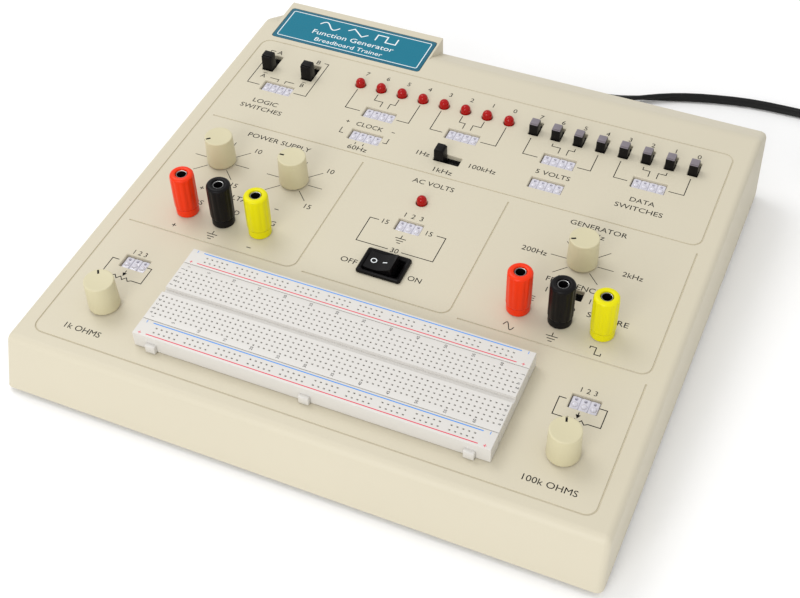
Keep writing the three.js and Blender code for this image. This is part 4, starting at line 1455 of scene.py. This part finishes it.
def panel_print():
    """All of the panel's lettering and printed wiring, as one piece."""
    bm = bmesh.new()
    for words, x, y, width in WORDS:
        letter(bm, words, x, y, width)
    for words, x, y in SMALL_WORDS:
        letter(bm, words, x, y, height=SMALL_CAPITAL)
    for points in WIRES:
        stroke(bm, points)

    lights = [LIGHTS[f"led_{i}"] for i in range(7, -1, -1)]
    keys = [middle(f"data_slider_{i}") for i in range(7, -1, -1)]
    for i in range(8):
        letter(bm, str(7 - i), lights[i].x, 227.4, height=SMALL_CAPITAL)
        letter(bm, str(7 - i), keys[i].x, 227.9, height=SMALL_CAPITAL)
    light_connectors, key_connectors = ("lights_high", "lights_low"), ("data_high", "data_low")
    for row, top, names in ((lights, 213.7, light_connectors), (keys, 210.8, key_connectors)):
        for half, name in enumerate(names):
            switch_wires(bm, [p.x for p in row[half * 4:half * 4 + 4]], CONNECTORS[name][0], top)
    for words, x in (("A", -116.4), ("B", -93.7)):
        letter(bm, words, x, 205.8, height=2.8)
        stroke(bm, [(x - 1.2, 208.3), (x + 1.2, 208.3)], 0.3)

    for x, y, size in ((-59.1, 188.6, 0.9), (-104.2, 116.6, 1.1), (-104.0, 89.0, 1.1)):
        plus(bm, x, y, size)
    for x, y, size in ((-34.0, 188.7, 0.9), (-63.6, 116.6, 1.1), (-64.2, 88.8, 1.1)):
        minus(bm, x, y, size)
    for x, y in ((-84.2, 90.2), (83.7, 90.2), (-0.8, 120.6)):
        ground_sign(bm, x, y)

    labels = (("5", -13.7, 13.1, None), ("10", 13.7, 13.1, None), ("15", 13.9, -13.6, None))
    for name in ("positive_supply", "negative_supply"):
        dial(bm, KNOBS[name], (-45, 0, 45, 90, 135, 180, 225), labels)
    labels = (("1kHz", 0, 18.8, 9.8), ("200Hz", -22.7, -0.6, 12.2), ("2kHz", 24.0, 0.2, 9.6))
    dial(bm, KNOBS["generator"], (-45, 0, 45, 135, 180, 225), labels)

    for name, words, width in (("red", "POS", 8.2), ("black", "GND", 8.6), ("yellow", "NEG", 8.4)):
        letter(bm, words, POSTS[f"supply_{name}"].x, 107.3, width)
    for name, words, width in (("red", "SINE", 9.6), ("black", "GND", 8.6), ("yellow", "SQUARE", 19)):
        letter(bm, words, POSTS[f"generator_{name}"].x, 108.3, width)
    stroke(bm, [(61.7 + i * 5 / 16, 88.8 + 2.0 * math.sin(math.pi * i / 8)) for i in range(17)])
    square = [(101.0, 90.0), (101.0, 91.2), (103.7, 91.2), (103.7, 87.2), (106.4, 87.2), (106.4, 88.6)]
    stroke(bm, square)

    for i, x in enumerate((-5.0, -0.9, 3.3)):
        letter(bm, str(i + 1), x, 136.4, height=SMALL_CAPITAL)
    for i in range(3):
        letter(bm, str(i + 1), -112.0 + i * 3.0, 66.4, height=2.6)
        letter(bm, str(i + 1), 104.9 + i * 3.15, 66.9, height=2.6)
    resistor_sign(bm, -109.2, 49.6, 59.5, (-10.4, -6.9), (10.3, 7.5))
    resistor_sign(bm, 107.7, 50.3, 60.0, (-10.3, -7.2), (10.6, 7.1))
    piece("panel_lettering", bm, PANEL, INK, smooth=20)


panel_print()

# ---- Inside ----------------------------------------------------------------------------------

CIRCUIT_TOP, CIRCUIT_BOTTOM = -11.0, -12.6


def circuit_board():
    """The board under the panel, with room for the rocker switch."""
    low, high = span("main_board")
    bm = bmesh.new()
    x, y = (low.x + high.x) / 2, (low.y + high.y) / 2
    outline = rounded_box(high.x - low.x, high.y - low.y, 2, x, y)
    slab(bm, outline, CIRCUIT_BOTTOM, CIRCUIT_TOP)
    body = solid(bm)
    bm = bmesh.new()
    hole = rounded_box(21, 15, 1, ROCKER.x, ROCKER.y)
    slab(bm, hole, CIRCUIT_BOTTOM - 1, CIRCUIT_TOP + 1)
    body = cut(body, bm)
    mesh = take_mesh(body)
    from_mesh("circuit_board", mesh, PANEL, RESIN, slot="circuit_resin", replaces="main_board")


def board_parts():
    """Potentiometers, capacitors, a heat sink and chips on the board."""
    pots, metal, dark = bmesh.new(), bmesh.new(), bmesh.new()
    for at in KNOBS.values():
        closed = [[3.1, -4.6], [3.1, -3.8], [3.6, -3.8], [3.6, -4.6]]
        closed_turn(metal, closed, at.x, at.y, sides=32)
        prism(pots, rounded_box(15.6, 15.6, 2, at.x, at.y), -10.9, -4.8, 0.4)
        for x in (at.x - 5, at.x, at.x + 5):
            block(metal, (x - 0.6, at.y - 10.4, -11.0), (x + 0.6, at.y - 7.6, -10.4), 0.1)
    for x in (52, 66):
        can = [[0, -26.4], [5.0, -26.4], [5.5, -25.8], [5.5, -13.4], [5.1, -13.0], [5.3, -12.7]]
        turned(dark, [*can, [0, -12.7]], x, 216, sides=40)
    for i in range(7):
        x = 79 + i * 4.3
        block(metal, (x, 210, -25.4), (x + 1.3, 222, -14.4), 0.2)
    block(metal, (78, 209.5, -15.4), (107, 222.5, -12.7), 0.3)
    for x, y in ((-20, 150), (20, 150), (-70, 60), (0, 60), (70, 60), (40, 190)):
        block(dark, (x - 9.6, y - 3.2, -10.9), (x + 9.6, y + 3.2, -7.6), 0.3)
        for i in range(8):
            for side in (-1, 1):
                pin_x, pin_y = x - 8.9 + i * PITCH, y + side * 3.8
                block(metal, (pin_x - 0.25, pin_y - 0.25, -11.2), (pin_x + 0.25, pin_y + 0.25, -9.0), 0.05)
    piece("potentiometer_bodies", pots, PANEL, LAMINATION, slot="core_steel")
    piece("board_metalwork", metal, PANEL, STEEL, slot="screw_steel", smooth=40)
    piece("board_components", dark, PANEL, BLACK, slot="black_plastic", smooth=40)


def mains_transformer():
    """A laminated core with its mounting feet, a winding and the tape round it."""
    low, high = span("transformer", DESK)
    x, y = (low.x + high.x) / 2, (low.y + high.y) / 2
    core, coil, strap = bmesh.new(), bmesh.new(), bmesh.new()
    bottom = low.z + 0.1
    plates = 26
    for i in range(plates):
        py = y - 10.6 + i * 0.82
        block(core, (x - 23, py, bottom + 1.4), (x + 23, py + 0.66, bottom + 24.8), 0.08, 1)
    wire_radius = 0.85
    for i in range(9):
        level = bottom + 4 + i * 1.9
        slab(coil, rounded_box(26, 20 + i * 1.6, 3, x, y), level - wire_radius, level + wire_radius)
    slab(strap, rounded_box(28, 35.8, 4, x, y), bottom + 4.2, bottom + 20.6)
    for side in (-1, 1):
        block(core, (x + side * 27 - 4, y - 11, bottom), (x + side * 27 + 4, y + 11, bottom + 1.3), 0.3)
    piece("transformer_core", core, DESK, LAMINATION, slot="core_steel", replaces="transformer")
    piece("transformer_winding", coil, DESK, COPPER)
    piece("transformer_tape", strap, DESK, YELLOW)


circuit_board()
board_parts()
mains_transformer()

# ---- Room ------------------------------------------------------------------------------------


def floor():
    """A plain floor just below the soles."""
    bm = bmesh.new()
    size = 3.0
    corners = ((-size, -size), (size, -size), (size, size), (-size, size))
    bm.faces.new([bm.verts.new((x, y, -0.0002)) for x, y in corners])
    mesh = bpy.data.meshes.new("floor")
    bm.to_mesh(mesh)
    bm.free()
    made = bpy.data.objects.new("floor", mesh)
    mesh.materials.append(finish("floor_paper", (255, 255, 255), 0.9, 1.0, 2, 0.02, 200))
    bpy.context.scene.collection.objects.link(made)


def area_light(name, place, aim, size, power):
    """A round soft light that faces a point."""
    light = bpy.data.lights.new(name, "AREA")
    light.shape = "DISK"
    light.size = size
    light.energy = power
    made = bpy.data.objects.new(name, light)
    made.location = place
    made.rotation_mode = "QUATERNION"
    made.rotation_quaternion = (Vector(aim) - Vector(place)).to_track_quat("-Z", "Y")
    bpy.context.scene.collection.objects.link(made)


def lighting():
    """An even white room with two soft lights."""
    world = bpy.data.worlds.new("studio")
    world.use_nodes = True
    background = world.node_tree.nodes["Background"]
    background.inputs["Color"].default_value = (1, 1, 1, 1)
    background.inputs["Strength"].default_value = 0.78
    bpy.context.scene.world = world
    area_light("key", (-0.7, 0.2, 1.3), (0, 0, 0), 0.8, 5.5)
    area_light("front", (-0.1, -1.5, 0.75), (0, 0, 0), 0.9, 9)


floor()
lighting()
bpy.context.scene.view_settings.view_transform = "Standard"
